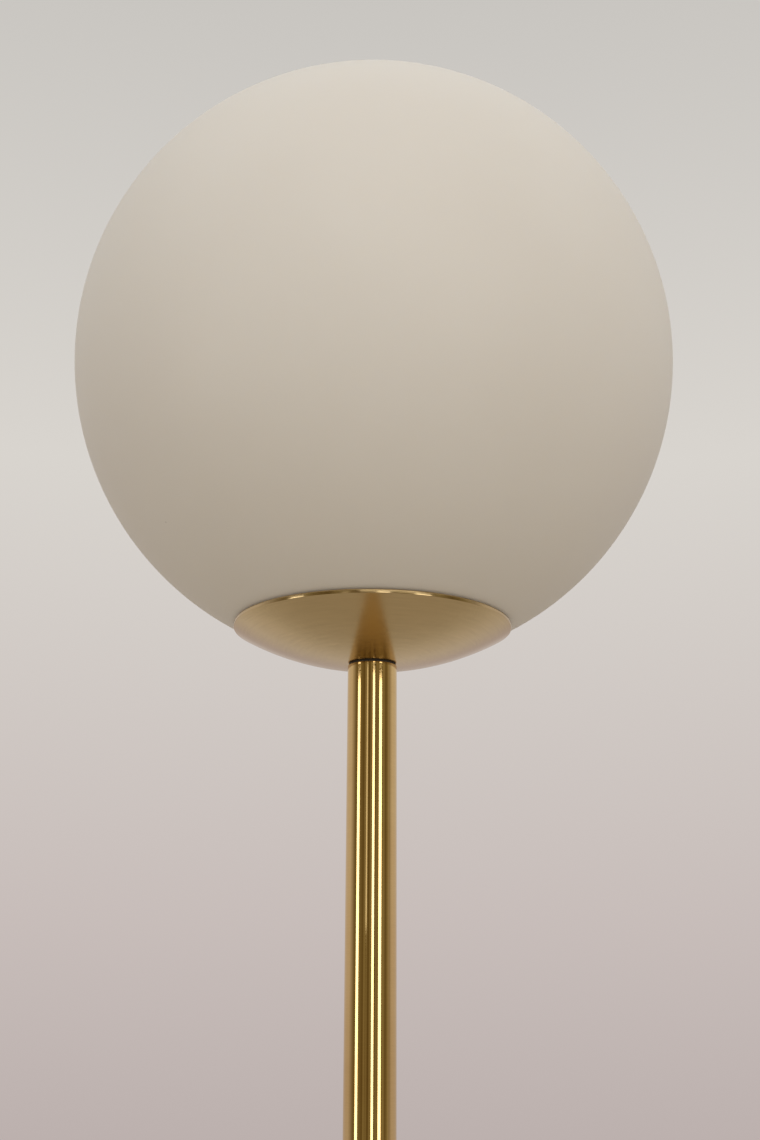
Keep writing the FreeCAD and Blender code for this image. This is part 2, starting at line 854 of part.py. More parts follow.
def cord_bush():
    """Flanged bush that the mains cord would enter by, with its mouth rounded."""
    outer = bush_diameter / 2
    bore = bush_bore / 2
    flange = bush_flange_diameter / 2
    flange_back = base_radius + bush_flange_thickness
    end = pocket_end - bush_nut_thickness - bush_end_length
    flare = (outer - bore) / 2
    solid = turned(
        (bore, end),
        (outer, end),
        (outer, base_radius),
        (flange, base_radius),
        rounded_corner(flange, flange_back, flare),
        (bore, flange_back),
    )
    return lay_along_y(solid)


def lay_along_y(solid):
    """Turns a solid from the Z axis to the inlet's axis: its height becomes its place along Y."""
    solid.rotate(FreeCAD.Vector(0, 0, 0), FreeCAD.Vector(1, 0, 0), -90)
    solid.translate(FreeCAD.Vector(0, 0, inlet_height))
    return solid


def base():
    washer_bottom = recess_ceiling - foot_washer_thickness
    lock_bottom = washer_bottom - lock_washer_thickness
    nut_bottom = lock_bottom - nut_thickness
    nipple_end = nut_bottom - nipple_below_nut
    bush_hole = bush_diameter / 2 + thread_clearance
    bush_nut = hex_nut(bush_nut_across_flats, bush_hole, pocket_end - bush_nut_thickness, pocket_end)
    return {
        "base_cover": base_cover(),
        "base_ballast": ballast(),
        "base_plate": base_plate(),
        "base_pad": ring(pad_outer_radius, pad_inner_radius, 0, pad_thickness),
        "plate_screws": plate_screws(),
        "stem_washer": ring(stem_radius - stem_washer_inset, clear_hole_radius, base_height, stem_foot),
        "foot_nipple": nipple(nipple_end, stem_foot + nipple_in_plug),
        "foot_plain_washer": ring(
            foot_washer_diameter / 2, clear_hole_radius, washer_bottom, recess_ceiling
        ),
        "foot_lock_washer": ring(lock_washer_diameter / 2, clear_hole_radius, lock_bottom, washer_bottom),
        "foot_nut": hex_nut(nut_across_flats, threaded_hole_radius, nut_bottom, lock_bottom),
        "cord_bush": cord_bush(),
        "cord_bush_nut": lay_along_y(bush_nut),
    }


def at_switch(solid):
    solid.translate(FreeCAD.Vector(0, switch_offset, 0))
    return solid


def switch_body():
    """Round housing under the base's web, with a threaded neck up through the cover."""
    outer = switch_body_diameter / 2
    neck = switch_neck_diameter / 2
    bore = neck - switch_neck_wall
    cavity = bore + button_flange_width + button_clearance
    bottom = plate_top + switch_floor_gap
    floor = bottom + switch_body_floor
    neck_top = base_height + switch_bezel_height
    shoulder = pocket_ceiling - switch_shoulder
    body = turned(
        (0, bottom),
        (outer, bottom),
        (outer, pocket_ceiling),
        (neck, pocket_ceiling),
        (neck, neck_top),
        (bore, neck_top),
        (bore, shoulder),
        (cavity, shoulder),
        (cavity, floor),
        (0, floor),
    )
    body = at_switch(body)
    entry_end = switch_front + switch_entry_depth
    for side in (-1, 1):
        entry = lying_cylinder(block_bore / 2, side * switch_pole_x(), inlet_height, switch_front, entry_end)
        body = body.cut(entry)
    return body


def switch_pole_x():
    """The switch's wire entries stand either side of its middle, half as far out as the block's poles."""
    return block_pole_spacing / 2


def switch_bezel():
    """Ring nut on the neck, on top of the base."""
    inner = switch_neck_diameter / 2 + thread_clearance
    outer = switch_bezel_diameter / 2
    top = base_height + switch_bezel_height
    return at_switch(
        turned(
            (inner, base_height),
            (outer, base_height),
            (outer, top - switch_bezel_chamfer),
            (outer - switch_bezel_chamfer, top),
            (inner, top),
        )
    )


def switch_button():
    """Domed plunger with a flange that holds it in the housing and a hollow for the spring."""
    radius = switch_neck_diameter / 2 - switch_neck_wall - button_clearance
    flange = radius + button_flange_width
    hollow = button_hollow_diameter / 2
    flange_top = pocket_ceiling - switch_shoulder - running_clearance
    flange_bottom = flange_top - button_flange_thickness
    top = base_height + switch_bezel_height + button_proud
    side_top = top - button_dome
    halfway = radius / 2
    return at_switch(
        turned(
            (hollow, flange_bottom),
            (flange, flange_bottom),
            (flange, flange_top),
            (radius, flange_top),
            (radius, side_top),
            ((halfway, side_top + cap_height(radius, button_dome, halfway)), (0, top)),
            (0, side_top - button_crown),
            (hollow, side_top - button_crown),
        )
    )


def switch_spring():
    floor = plate_top + switch_floor_gap + switch_body_floor
    top = base_height + switch_bezel_height + button_proud - button_dome - button_crown
    outer = button_hollow_diameter / 2 - button_clearance
    return ring(outer, outer - spring_wire, floor, top, 0, switch_offset)


def terminal_block():
    """Moulded block with three through-bored poles."""
    bottom = pocket_ceiling - block_height
    corner = FreeCAD.Vector(-block_width / 2, block_front, bottom)
    block = Part.makeBox(block_width, block_depth, block_height, corner)
    screw_radius = block_screw_diameter / 2
    for pole in (-1, 0, 1):
        x = pole * block_pole_spacing
        block = block.cut(lying_cylinder(block_bore / 2, x, block_axis(), block_front, block_back))
        for y in clamp_screw_ys():
            block = block.cut(cylinder(screw_radius, bottom, block_axis(), x, y))
    for x, y in block_screw_places():
        block = block.cut(cylinder(screw_radius, bottom, pocket_ceiling, x, y))
    return block


def block_axis():
    return pocket_ceiling - block_height / 2


def clamp_screw_ys():
    return [block_offset + side * block_screw_spacing / 2 for side in (-1, 1)]


def terminal_screws():
    """Two clamping screws on each pole, slotted, driven from below onto the cores."""
    radius = block_screw_diameter / 2 - thread_clearance
    bottom = pocket_ceiling - block_height
    top = block_axis() - core_radius - thread_clearance
    slot = clamp_slot_width
    screws = []
    for pole in (-1, 0, 1):
        for y in clamp_screw_ys():
            screw = cylinder(radius, bottom, top)
            corner = FreeCAD.Vector(-radius, -slot / 2, bottom)
            screw = screw.cut(Part.makeBox(2 * radius, slot, slot, corner))
            screw.translate(FreeCAD.Vector(pole * block_pole_spacing, y, 0))
            screws.append(screw)
    return group(screws)


def block_screws():
    seat = pocket_ceiling - block_height
    length = block_height + block_screw_grip
    head, rise = block_screw_head_diameter, block_screw_head_height
    places = block_screw_places()
    return group([pan_screw(block_screw_diameter, head, rise, seat, length, x, y) for x, y in places])


def stem_core(side):
    """Core from the terminal block, up the stem and into the lampholder's terminal on one side."""
    near, far = side * core_spacing / 2, side * block_pole_spacing
    terminal = side * terminal_spacing / 2
    cap_floor = holder_bottom + holder_thread_depth
    spread = insert_underside - cap_floor
    return core_along(
        [
            FreeCAD.Vector(far, block_front + core_grip, block_axis()),
            FreeCAD.Vector(far, block_front - core_small_bend_radius, block_axis()),
            FreeCAD.Vector(near, recess_radius, core_height),
            FreeCAD.Vector(near, 0, core_height),
            FreeCAD.Vector(near, 0, cap_floor + spread * core_spread_start),
            FreeCAD.Vector(terminal, 0, cap_floor + spread * core_spread_end),
            FreeCAD.Vector(terminal, 0, insert_underside + core_grip),
        ],
        core_small_bend_radius,
    )


def switch_leads():
    """Two leads from the back of the block to the switch."""
    straight = (switch_front - block_back) / 4
    leads = []
    for pole, entry in ((0, -switch_pole_x()), (block_pole_spacing, switch_pole_x())):
        leads.append(
            core_along(
                [
                    FreeCAD.Vector(pole, block_back - core_grip, block_axis()),
                    FreeCAD.Vector(pole, block_back + straight, block_axis()),
                    FreeCAD.Vector(entry, switch_front - straight, inlet_height),
                    FreeCAD.Vector(entry, switch_front + switch_entry_depth, inlet_height),
                ],
                core_bend_radius,
            )
        )
    return group(leads)


def earth_tag():
    """Ring tag with a blade, for the cord's earth wire."""
    top = pocket_ceiling
    bottom = top - earth_tag_thickness
    blade_width = earth_tag_diameter / 2
    corner = FreeCAD.Vector(-blade_width / 2, 0, bottom)
    tag = cylinder(earth_tag_diameter / 2, bottom, top)
    tag = tag.fuse(Part.makeBox(blade_width, earth_tag_length, earth_tag_thickness, corner)).removeSplitter()
    tag = tag.cut(cylinder(earth_screw_diameter / 2 + hole_clearance, bottom, top))
    tag.translate(FreeCAD.Vector(earth_screw_x, earth_screw_y, 0))
    return tag


def earth_screw():
    head, rise = earth_screw_head_diameter, earth_screw_head_height
    seat = pocket_ceiling - earth_tag_thickness
    length = earth_tag_thickness + earth_screw_grip
    return pan_screw(earth_screw_diameter, head, rise, seat, length, earth_screw_x, earth_screw_y)


def wiring():
    return {
        "terminal_block": terminal_block(),
        "terminal_screws": terminal_screws(),
        "block_screws": block_screws(),
        "live_core": stem_core(1),
        "neutral_core": stem_core(-1),
        "switch_leads": switch_leads(),
        "earth_tag": earth_tag(),
        "earth_screw": earth_screw(),
    }


def foot_switch():
    return {
        "switch_body": switch_body(),
        "switch_bezel": switch_bezel(),
        "switch_button": switch_button(),
        "switch_spring": switch_spring(),
    }


def build():
    pieces = {}
    for maker in (head, stem, lampholder, bulb, base, foot_switch, wiring):
        pieces.update(maker())
    return pieces


os.makedirs("parts", exist_ok=True)
for name, shape in build().items():
    shape.exportStep(os.path.join("parts", name + ".step"))
    print(name, len(shape.Solids), "solid(s)", round(shape.Volume / 1000, 2), "cm3", shape.isValid())
hole_edge = below_centre(globe_radius, globe_centre(), globe_hole_radius)
print("globe's middle is", round(globe_centre(), 2), "mm up, the dish's seat", round(dish_seat, 2))
lift = bulb_tip + bulb_length + globe_lift_room - hole_edge
print("the globe lifts", round(lift, 2), "mm to clear the bulb")
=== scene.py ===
import json
import math

import bmesh
import bpy
import numpy as np
from mathutils import Matrix, Vector


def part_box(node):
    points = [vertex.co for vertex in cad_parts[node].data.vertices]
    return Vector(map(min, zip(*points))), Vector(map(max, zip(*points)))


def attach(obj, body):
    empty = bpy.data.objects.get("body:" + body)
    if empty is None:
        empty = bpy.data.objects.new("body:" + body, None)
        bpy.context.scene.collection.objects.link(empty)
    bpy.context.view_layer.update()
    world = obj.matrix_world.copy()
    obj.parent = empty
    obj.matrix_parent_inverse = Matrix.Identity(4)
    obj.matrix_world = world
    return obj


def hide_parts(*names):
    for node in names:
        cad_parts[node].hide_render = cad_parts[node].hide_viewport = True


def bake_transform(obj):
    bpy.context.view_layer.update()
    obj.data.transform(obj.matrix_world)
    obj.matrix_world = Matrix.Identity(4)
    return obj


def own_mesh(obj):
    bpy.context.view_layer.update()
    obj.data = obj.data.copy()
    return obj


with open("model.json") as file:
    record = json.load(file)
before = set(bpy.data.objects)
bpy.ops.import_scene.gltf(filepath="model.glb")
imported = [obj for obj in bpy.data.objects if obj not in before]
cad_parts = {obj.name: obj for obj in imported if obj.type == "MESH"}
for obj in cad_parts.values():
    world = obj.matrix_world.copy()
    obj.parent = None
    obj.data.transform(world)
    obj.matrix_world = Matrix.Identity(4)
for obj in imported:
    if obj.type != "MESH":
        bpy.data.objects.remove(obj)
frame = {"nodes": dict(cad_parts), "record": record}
bpy.context.scene.view_settings.view_transform = "Standard"
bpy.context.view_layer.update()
mm = 0.001

# ---- surfaces


def nodeBox(node):
    low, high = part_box(node)
    return np.array(low) / mm, np.array(high) / mm  # in millimetres


def addPiece(name, points, faceSets, uvSets, sharpAngle):
    # points in millimetres; each face set is an array of corner indices, with every corner's uv beside it
    used, packed = np.unique(np.concatenate([faceSet.ravel() for faceSet in faceSets]), return_inverse=True)
    sizes = np.concatenate([np.full(len(faceSet), faceSet.shape[1]) for faceSet in faceSets])
    splits = np.cumsum(sizes)[:-1]
    faces = [part.tolist() for part in np.split(packed, splits)]
    mesh = bpy.data.meshes.new(name)
    mesh.from_pydata((points.reshape(-1, 3)[used] * mm).tolist(), [], faces)
    uvLayer = mesh.uv_layers.new(name="UVMap")
    uvLayer.data.foreach_set("uv", np.concatenate([uvSet.reshape(-1) for uvSet in uvSets]))
    mesh.polygons.foreach_set("use_smooth", np.ones(len(mesh.polygons), bool))
    mesh.set_sharp_from_angle(angle=math.radians(sharpAngle))
    piece = bpy.data.objects.new(name, mesh)
    bpy.context.scene.collection.objects.link(piece)
    return piece


def turnedSurface(name, profile, around=128, wave=None, centre=(0.0, 0.0), sharpAngle=30):
    # P(a, s) = (x0 + r(s) cos a, y0 + r(s) sin a, z(s)): a runs round the axis, s along the section.
    # wave(a, r, z) may change r, as a thread does. A section that starts on the axis ends there too.
    profile = np.asarray(profile, float)
    after = np.roll(profile, -1, axis=0)
    if np.sum(profile[:, 0] * after[:, 1] - after[:, 0] * profile[:, 1]) < 0:
        profile = profile[::-1]
    onAxis = profile[0, 0] < 1e-9
    count = len(profile)
    angle = np.arange(around)[:, None] * 2 * math.pi / around
    radius = np.tile(profile[:, 0], (around, 1))
    height = np.tile(profile[:, 1], (around, 1))
    if wave is not None:
        radius = wave(angle, radius, height)
    x, y = centre[0] + radius * np.cos(angle), centre[1] + radius * np.sin(angle)
    points = np.stack([x, y, height], axis=-1)
    index = np.arange(around * count).reshape(around, count)
    if onAxis:
        index[:, 0] = index[0, 0]
        index[:, -1] = index[0, -1]
    ahead = np.roll(index, -1, axis=0)
    corners = np.stack([index, ahead, np.roll(ahead, -1, axis=1), np.roll(index, -1, axis=1)], axis=-1)
    lengths = np.linalg.norm(np.roll(profile, -1, axis=0) - profile, axis=1)
    along = np.concatenate([[0], np.cumsum(lengths)])
    turn = angle * profile[:, 0].max()
    step = 2 * math.pi / around * profile[:, 0].max()
    lower, upper = np.tile(along[:-1], (around, 1)), np.tile(along[1:], (around, 1))
    left, right = np.tile(turn, (1, count)), np.tile(turn + step, (1, count))
    uv = np.stack([lower, left, lower, right, upper, right, upper, left], axis=-1)
    uv = uv.reshape(around, count, 4, 2) * mm
    rows = count - 1 if onAxis else count
    corners, uv = corners[:, :rows].reshape(-1, 4), uv[:, :rows].reshape(-1, 4, 2)
    atStart, atEnd = corners[:, 0] == corners[:, 1], corners[:, 2] == corners[:, 3]
    full = ~(atStart | atEnd)
    faceSets, uvSets = [corners[full]], [uv[full]]
    if onAxis:
        faceSets += [corners[atStart][:, [0, 2, 3]], corners[atEnd][:, [0, 1, 2]]]
        uvSets += [uv[atStart][:, [0, 2, 3]], uv[atEnd][:, [0, 1, 2]]]
    return addPiece(name, points, faceSets, uvSets, sharpAngle)


def roundedSection(corners, steps=5):
    # each corner P is (radius, height, rounding): the arc of radius r that turns by t touches both sides,
    # so it starts r tan(t / 2) before the corner
    corners = np.asarray(corners, float)
    place, rounding = corners[:, :2], corners[:, 2]
    into = place - np.roll(place, 1, axis=0)
    away = np.roll(place, -1, axis=0) - place
    into /= np.linalg.norm(into, axis=1)[:, None]
    away /= np.linalg.norm(away, axis=1)[:, None]
    cross = into[:, 0] * away[:, 1] - into[:, 1] * away[:, 0]
    turn = np.arctan2(cross, np.sum(into * away, axis=1))
    start = place - into * (rounding * np.abs(np.tan(turn / 2)))[:, None]
    side = np.stack([-into[:, 1], into[:, 0]], axis=1) * np.sign(turn)[:, None]
    middle = start + side * rounding[:, None]
    spoke = start - middle
    angle = turn[:, None] * np.linspace(0, 1, steps + 1)[None, :]
    x = middle[:, :1] + spoke[:, :1] * np.cos(angle) - spoke[:, 1:] * np.sin(angle)
    z = middle[:, 1:] + spoke[:, :1] * np.sin(angle) + spoke[:, 1:] * np.cos(angle)
    points = np.stack([x, z], axis=-1).reshape(-1, 2)
    keep = np.linalg.norm(points - np.roll(points, 1, axis=0), axis=1) > 1e-4
    keep[0] = True
    return heldFlats(points[keep])


def heldFlats(points, hold=0.25, shortest=1.2):
    # long straight sides get a point close to each end, so that they shade flat right up to a rounding
    held = []
    for here, there in zip(points, np.roll(points, -1, axis=0)):
        held.append(here)
        length = np.linalg.norm(there - here)
        if length > shortest:
            held += [here + (there - here) * hold / length, there - (there - here) * hold / length]
    return np.array(held)


def ballArc(radius, middle, start, end, steps):
    # (R sin u, z0 - R cos u): u counts from the ball's lowest point, start and end in degrees
    u = np.radians(np.linspace(start, end, steps + 1))
    return np.stack([radius * np.sin(u), middle - radius * np.cos(u)], axis=1)


def angleAt(radius, across):
    return math.degrees(math.asin(across / radius))


def smoothCopy(node, name, sharpAngle=28):
    # a copy of the frame's triangles with their corners joined, so that round faces shade round
    mesh = frame["nodes"][node].data.copy()
    mesh.name = name
    work = bmesh.new()
    work.from_mesh(mesh)
    bmesh.ops.remove_doubles(work, verts=work.verts, dist=0.5e-6)
    work.to_mesh(mesh)
    work.free()
    mesh.polygons.foreach_set("use_smooth", np.ones(len(mesh.polygons), bool))
    mesh.set_sharp_from_angle(angle=math.radians(sharpAngle))
    piece = bpy.data.objects.new(name, mesh)
    bpy.context.scene.collection.objects.link(piece)
    return piece


def seat(piece, body, nodes, material):
    piece.data.materials.clear()
    piece.data.materials.append(material)
    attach(piece, body)
    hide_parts(*nodes)


# ---- finishes


def addNode(tree, kind, inputs=None, **settings):
    node = tree.nodes.new(kind)
    for key, value in settings.items():
        setattr(node, key, value)
    for key, value in (inputs or {}).items():
        if isinstance(value, bpy.types.NodeSocket):
            tree.links.new(value, node.inputs[key])
        else:
            node.inputs[key].default_value = value
    return node


def startMaterial(name, values):
    material = bpy.data.materials.new(name)
    material.use_nodes = True
    tree = material.node_tree
    shader = tree.nodes["Principled BSDF"]
    for key, value in values.items():
        shader.inputs[key].default_value = value
    return material, tree, shader


noiseRange = (0.3, 0.7)  # nearly all of a noise's values lie in here


def rampBetween(tree, factor, first, second):
    ramp = addNode(tree, "ShaderNodeValToRGB", {"Fac": factor})
    for element, at, tone in zip(ramp.color_ramp.elements, noiseRange, (first, second)):
        element.position = at
        element.color = (*tone, 1)
    return ramp.outputs["Color"]


def rangeBetween(tree, factor, first, second):
    return addNode(tree, "ShaderNodeMapRange", {
        "Value": factor, "From Min": noiseRange[0], "From Max": noiseRange[1],
        "To Min": first, "To Max": second,
    }).outputs["Result"]


def calculate(tree, operation, first, second):
    return addNode(tree, "ShaderNodeMath", {0: first, 1: second}, operation=operation).outputs["Value"]


def mixColours(tree, factor, first, second, blend="MIX"):
    # 6 and 7 are the mix node's two colours, and 2 is the colour that it gives
    return addNode(
        tree, "ShaderNodeMix", {"Factor": factor, 6: first, 7: second}, data_type="RGBA", blend_type=blend
    ).outputs[2]


def noiseOn(tree, place, scale, detail=3.0, roughness=0.55):
    return addNode(tree, "ShaderNodeTexNoise", {
        "Vector": place, "Scale": scale, "Detail": detail, "Roughness": roughness,
    }).outputs["Fac"]


def objectPlace(tree, centre=(0.0, 0.0, 0.0)):
    place = addNode(tree, "ShaderNodeTexCoord").outputs["Object"]
    if any(centre):
        back = [-c for c in centre]
        place = addNode(tree, "ShaderNodeMapping", {"Vector": place, "Location": back}).outputs["Vector"]
    return place


def turnedGrain(tree, place, fine, reach):
    # noise at (k x / r, k y / r, f (r + z)): fine lines that run round the axis
    parts = addNode(tree, "ShaderNodeSeparateXYZ", {"Vector": place}).outputs
    flat = addNode(tree, "ShaderNodeCombineXYZ", {"X": parts["X"], "Y": parts["Y"]}).outputs["Vector"]
    distance = addNode(tree, "ShaderNodeVectorMath", {0: flat}, operation="LENGTH").outputs["Value"]
    heading = addNode(tree, "ShaderNodeVectorMath", {0: flat}, operation="NORMALIZE").outputs["Vector"]
    level = calculate(tree, "MULTIPLY", calculate(tree, "ADD", distance, parts["Z"]), fine)
    wide = addNode(tree, "ShaderNodeVectorMath", {0: heading, "Scale": reach}, operation="SCALE").outputs
    tall = addNode(tree, "ShaderNodeCombineXYZ", {"Z": level}).outputs
    together = addNode(
        tree, "ShaderNodeVectorMath", {0: wide["Vector"], 1: tall["Vector"]}, operation="ADD"
    ).outputs["Vector"]
    return noiseOn(tree, together, 1.0, 4.0, 0.65)


def bumpFrom(tree, shader, height, strength, distance):
    bump = addNode(tree, "ShaderNodeBump", {"Height": height, "Strength": strength, "Distance": distance})
    tree.links.new(bump.outputs["Normal"], shader.inputs["Normal"])


def turnedMetal(name, look):
    # metal that was spun or turned: grain round the axis, gloss drawn out across the grain
    material, tree, shader = startMaterial(name, {"Metallic": 1.0, "Anisotropic": look["stretch"]})
    place = objectPlace(tree, look.get("centre", (0.0, 0.0, 0.0)))
    grain = turnedGrain(tree, place, look["fine"], look["reach"])
    clouds = noiseOn(tree, place, look["cloudScale"])
    tint = rampBetween(tree, clouds, look["colour"], look["deepColour"])
    lines = rampBetween(tree, grain, (look["lineShade"],) * 3, (1.0, 1.0, 1.0))
    tree.links.new(mixColours(tree, 1.0, tint, lines, "MULTIPLY"), shader.inputs["Base Color"])
    tree.links.new(rangeBetween(tree, grain, *look["roughness"]), shader.inputs["Roughness"])
    if look["stretch"] > 0:
        tangent = addNode(tree, "ShaderNodeTangent", direction_type="UV_MAP", uv_map="UVMap")
        tree.links.new(tangent.outputs["Tangent"], shader.inputs["Tangent"])
    bumpFrom(tree, shader, grain, look["bump"], look["bumpDepth"])
    return material


def plainFinish(name, look):
    # one base for cast, moulded, plated and painted surfaces: clouds tint it, a finer grain roughens it
    values = {"Metallic": look.get("metallic", 0.0), "IOR": look.get("ior", 1.5)}
    values.update(look.get("values", {}))
    material, tree, shader = startMaterial(name, values)
    place = objectPlace(tree)
    clouds = noiseOn(tree, place, look.get("cloudScale", 60.0))
    grain = noiseOn(tree, place, look.get("grainScale", 900.0), 4.0)
    tree.links.new(rampBetween(tree, clouds, look["colour"], look["deepColour"]), shader.inputs["Base Color"])
    tree.links.new(rangeBetween(tree, grain, *look["roughness"]), shader.inputs["Roughness"])
    bumpFrom(tree, shader, grain, look.get("bump", 0.1), look.get("bumpDepth", 0.0001))
    return material


def etchedOpal(look):
    # acid-etched opal glass: dull, slightly see-into white with a faint cloudiness and a few specks of dust
    material, tree, shader = startMaterial("etchedOpal", look["values"])
    place = objectPlace(tree)
    clouds = noiseOn(tree, place, look["cloudScale"], 2.0)
    tint = rampBetween(tree, clouds, look["colour"], look["deepColour"])
    cells = addNode(tree, "ShaderNodeTexVoronoi", {"Vector": place, "Scale": look["speckScale"]})
    speck = calculate(tree, "LESS_THAN", cells.outputs["Distance"], look["speckSize"])
    draw = addNode(tree, "ShaderNodeSeparateColor", {"Color": cells.outputs["Color"]}).outputs["Red"]
    rare = calculate(tree, "LESS_THAN", draw, look["speckShare"])
    faint = calculate(tree, "MULTIPLY", calculate(tree, "MULTIPLY", speck, rare), look["speckDepth"])
    grain = noiseOn(tree, place, look["grainScale"], 4.0)
    tree.links.new(mixColours(tree, faint, tint, look["speckColour"]), shader.inputs["Base Color"])
    tree.links.new(rangeBetween(tree, grain, *look["roughness"]), shader.inputs["Roughness"])
    bumpFrom(tree, shader, grain, look["bump"], look["bumpDepth"])
    return material


opalLook = {
    "values": {
        "Subsurface Weight": 0.25,
        "Subsurface Radius": (1.0, 0.9, 0.75),
        "Subsurface Scale": 0.006,
        "IOR": 1.48,
    },
    "colour": (0.80, 0.77, 0.715),
    "deepColour": (0.78, 0.745, 0.685),
    "cloudScale": 9.0,
    "grainScale": 1400.0,
    "roughness": (0.5, 0.6),
    "bump": 0.05,
    "bumpDepth": 0.00005,
    "speckScale": 45.0,
    "speckSize": 0.04,
    "speckShare": 0.06,
    "speckDepth": 0.45,
    "speckColour": (0.25, 0.22, 0.18, 1),
}
dishLook = {
    "colour": (0.65, 0.49, 0.27),
    "deepColour": (0.59, 0.44, 0.235),
    "cloudScale": 18.0,
    "fine": 1500.0,
    "reach": 3.0,
    "lineShade": 0.84,
    "roughness": (0.14, 0.2),
    "stretch": 0.8,
    "bump": 0.16,
    "bumpDepth": 0.00004,
}
tubeLook = {
    "colour": (0.78, 0.57, 0.26),
    "deepColour": (0.73, 0.51, 0.22),
    "cloudScale": 30.0,
    "fine": 1800.0,
    "reach": 1.2,
    "lineShade": 0.94,
    "roughness": (0.03, 0.07),
    "stretch": 0.3,
    "bump": 0.02,
    "bumpDepth": 0.00002,
}
coverLook = dict(dishLook, fine=1200.0, reach=6.0, roughness=(0.18, 0.26), stretch=0.7)
trimLook = dict(tubeLook, stretch=0.4)
turnedLook = {
    "colour": (0.70, 0.52, 0.26),
    "deepColour": (0.62, 0.43, 0.20),
    "cloudScale": 90.0,
    "fine": 4000.0,
    "reach": 2.0,
    "lineShade": 0.85,
    "roughness": (0.22, 0.4),
    "stretch": 0.0,
    "bump": 0.15,
    "bumpDepth": 0.00004,
}
plainLooks = {
    "zincSteel": {
        "metallic": 1.0, "colour": (0.62, 0.64, 0.66), "deepColour": (0.50, 0.52, 0.56),
        "roughness": (0.28, 0.42), "cloudScale": 120.0, "grainScale": 2400.0,
        "bump": 0.12, "bumpDepth": 0.00003,
    },
    "springSteel": {
        "metallic": 1.0, "colour": (0.46, 0.46, 0.48), "deepColour": (0.34, 0.34, 0.37),
        "roughness": (0.2, 0.35), "cloudScale": 80.0, "grainScale": 3000.0,
        "bump": 0.08, "bumpDepth": 0.00002,
    },
    "nickelPlate": {
        "metallic": 1.0, "colour": (0.66, 0.62, 0.55), "deepColour": (0.58, 0.54, 0.47),
        "roughness": (0.12, 0.22), "cloudScale": 90.0, "grainScale": 1800.0,
        "bump": 0.05, "bumpDepth": 0.00002,
    },
    "castIron": {
        "metallic": 0.4, "colour": (0.035, 0.034, 0.033), "deepColour": (0.055, 0.052, 0.05),
        "roughness": (0.6, 0.85), "cloudScale": 40.0, "grainScale": 500.0,
        "bump": 0.6, "bumpDepth": 0.0004,
    },
    "powderBlack": {
        "colour": (0.022, 0.022, 0.023), "deepColour": (0.03, 0.03, 0.031), "roughness": (0.45, 0.6),
        "cloudScale": 30.0, "grainScale": 700.0, "bump": 0.35, "bumpDepth": 0.00012,
    },
    "clearSilicone": {
        "colour": (0.72, 0.71, 0.67), "deepColour": (0.64, 0.63, 0.58), "roughness": (0.35, 0.5), "ior": 1.41,
        "values": {
            "Subsurface Weight": 0.4, "Subsurface Radius": (1.0, 0.95, 0.85), "Subsurface Scale": 0.003,
        },
        "bump": 0.1, "bumpDepth": 0.00005,
    },
    "foamRubber": {
        "colour": (0.018, 0.018, 0.019), "deepColour": (0.032, 0.032, 0.033), "roughness": (0.8, 0.95),
        "cloudScale": 200.0, "grainScale": 1600.0, "bump": 0.8, "bumpDepth": 0.0003,
    },
    "blackFibre": {
        "colour": (0.03, 0.024, 0.018), "deepColour": (0.05, 0.04, 0.03), "roughness": (0.55, 0.75),
        "cloudScale": 300.0, "grainScale": 2500.0, "bump": 0.3, "bumpDepth": 0.00005,
    },
    "blackPhenolic": {
        "colour": (0.02, 0.019, 0.018), "deepColour": (0.028, 0.026, 0.025), "roughness": (0.18, 0.3),
        "cloudScale": 60.0, "grainScale": 900.0, "bump": 0.08, "bumpDepth": 0.00005,
    },
    "porcelain": {
        "colour": (0.80, 0.78, 0.72), "deepColour": (0.74, 0.71, 0.64), "roughness": (0.08, 0.2),
        "cloudScale": 70.0, "grainScale": 400.0, "bump": 0.1, "bumpDepth": 0.0001,
        "values": {"Coat Weight": 0.6, "Coat Roughness": 0.05},
    },
    "frostedDome": {
        "colour": (0.86, 0.855, 0.83), "deepColour": (0.83, 0.82, 0.79), "roughness": (0.42, 0.55),
        "values": {
            "Subsurface Weight": 0.4, "Subsurface Radius": (1.0, 0.95, 0.85), "Subsurface Scale": 0.004,
        },
        "bump": 0.06, "bumpDepth": 0.00003,
    },
    "whiteHousing": {
        "colour": (0.84, 0.84, 0.82), "deepColour": (0.80, 0.80, 0.77), "roughness": (0.22, 0.34),
        "grainScale": 900.0, "bump": 0.04, "bumpDepth": 0.00003,
    },
    "blackGlass": {
        "colour": (0.012, 0.012, 0.014), "deepColour": (0.02, 0.02, 0.022), "roughness": (0.08, 0.2),
        "bump": 0.05, "bumpDepth": 0.00005,
    },
    "whiteNylon": {
        "colour": (0.75, 0.73, 0.66), "deepColour": (0.70, 0.67, 0.59), "roughness": (0.4, 0.55),
        "bump": 0.12,
    },
    "brownCore": {
        "colour": (0.10, 0.035, 0.014), "deepColour": (0.08, 0.028, 0.011), "roughness": (0.35, 0.5),
        "bump": 0.1,
    },
    "blueCore": {
        "colour": (0.015, 0.07, 0.35), "deepColour": (0.012, 0.055, 0.29), "roughness": (0.35, 0.5),
        "bump": 0.1,
    },
}

opal = etchedOpal(opalLook)
dishBrass = turnedMetal("dishBrass", dishLook)
tubeBrass = turnedMetal("tubeBrass", tubeLook)
coverBrass = turnedMetal("coverBrass", coverLook)
turnedBrass = turnedMetal("turnedBrass", turnedLook)
finishes = {name: plainFinish(name, look) for name, look in plainLooks.items()}
finishes["turnedBrass"] = turnedBrass
print("finishes made:", len(finishes))

# ---- globe


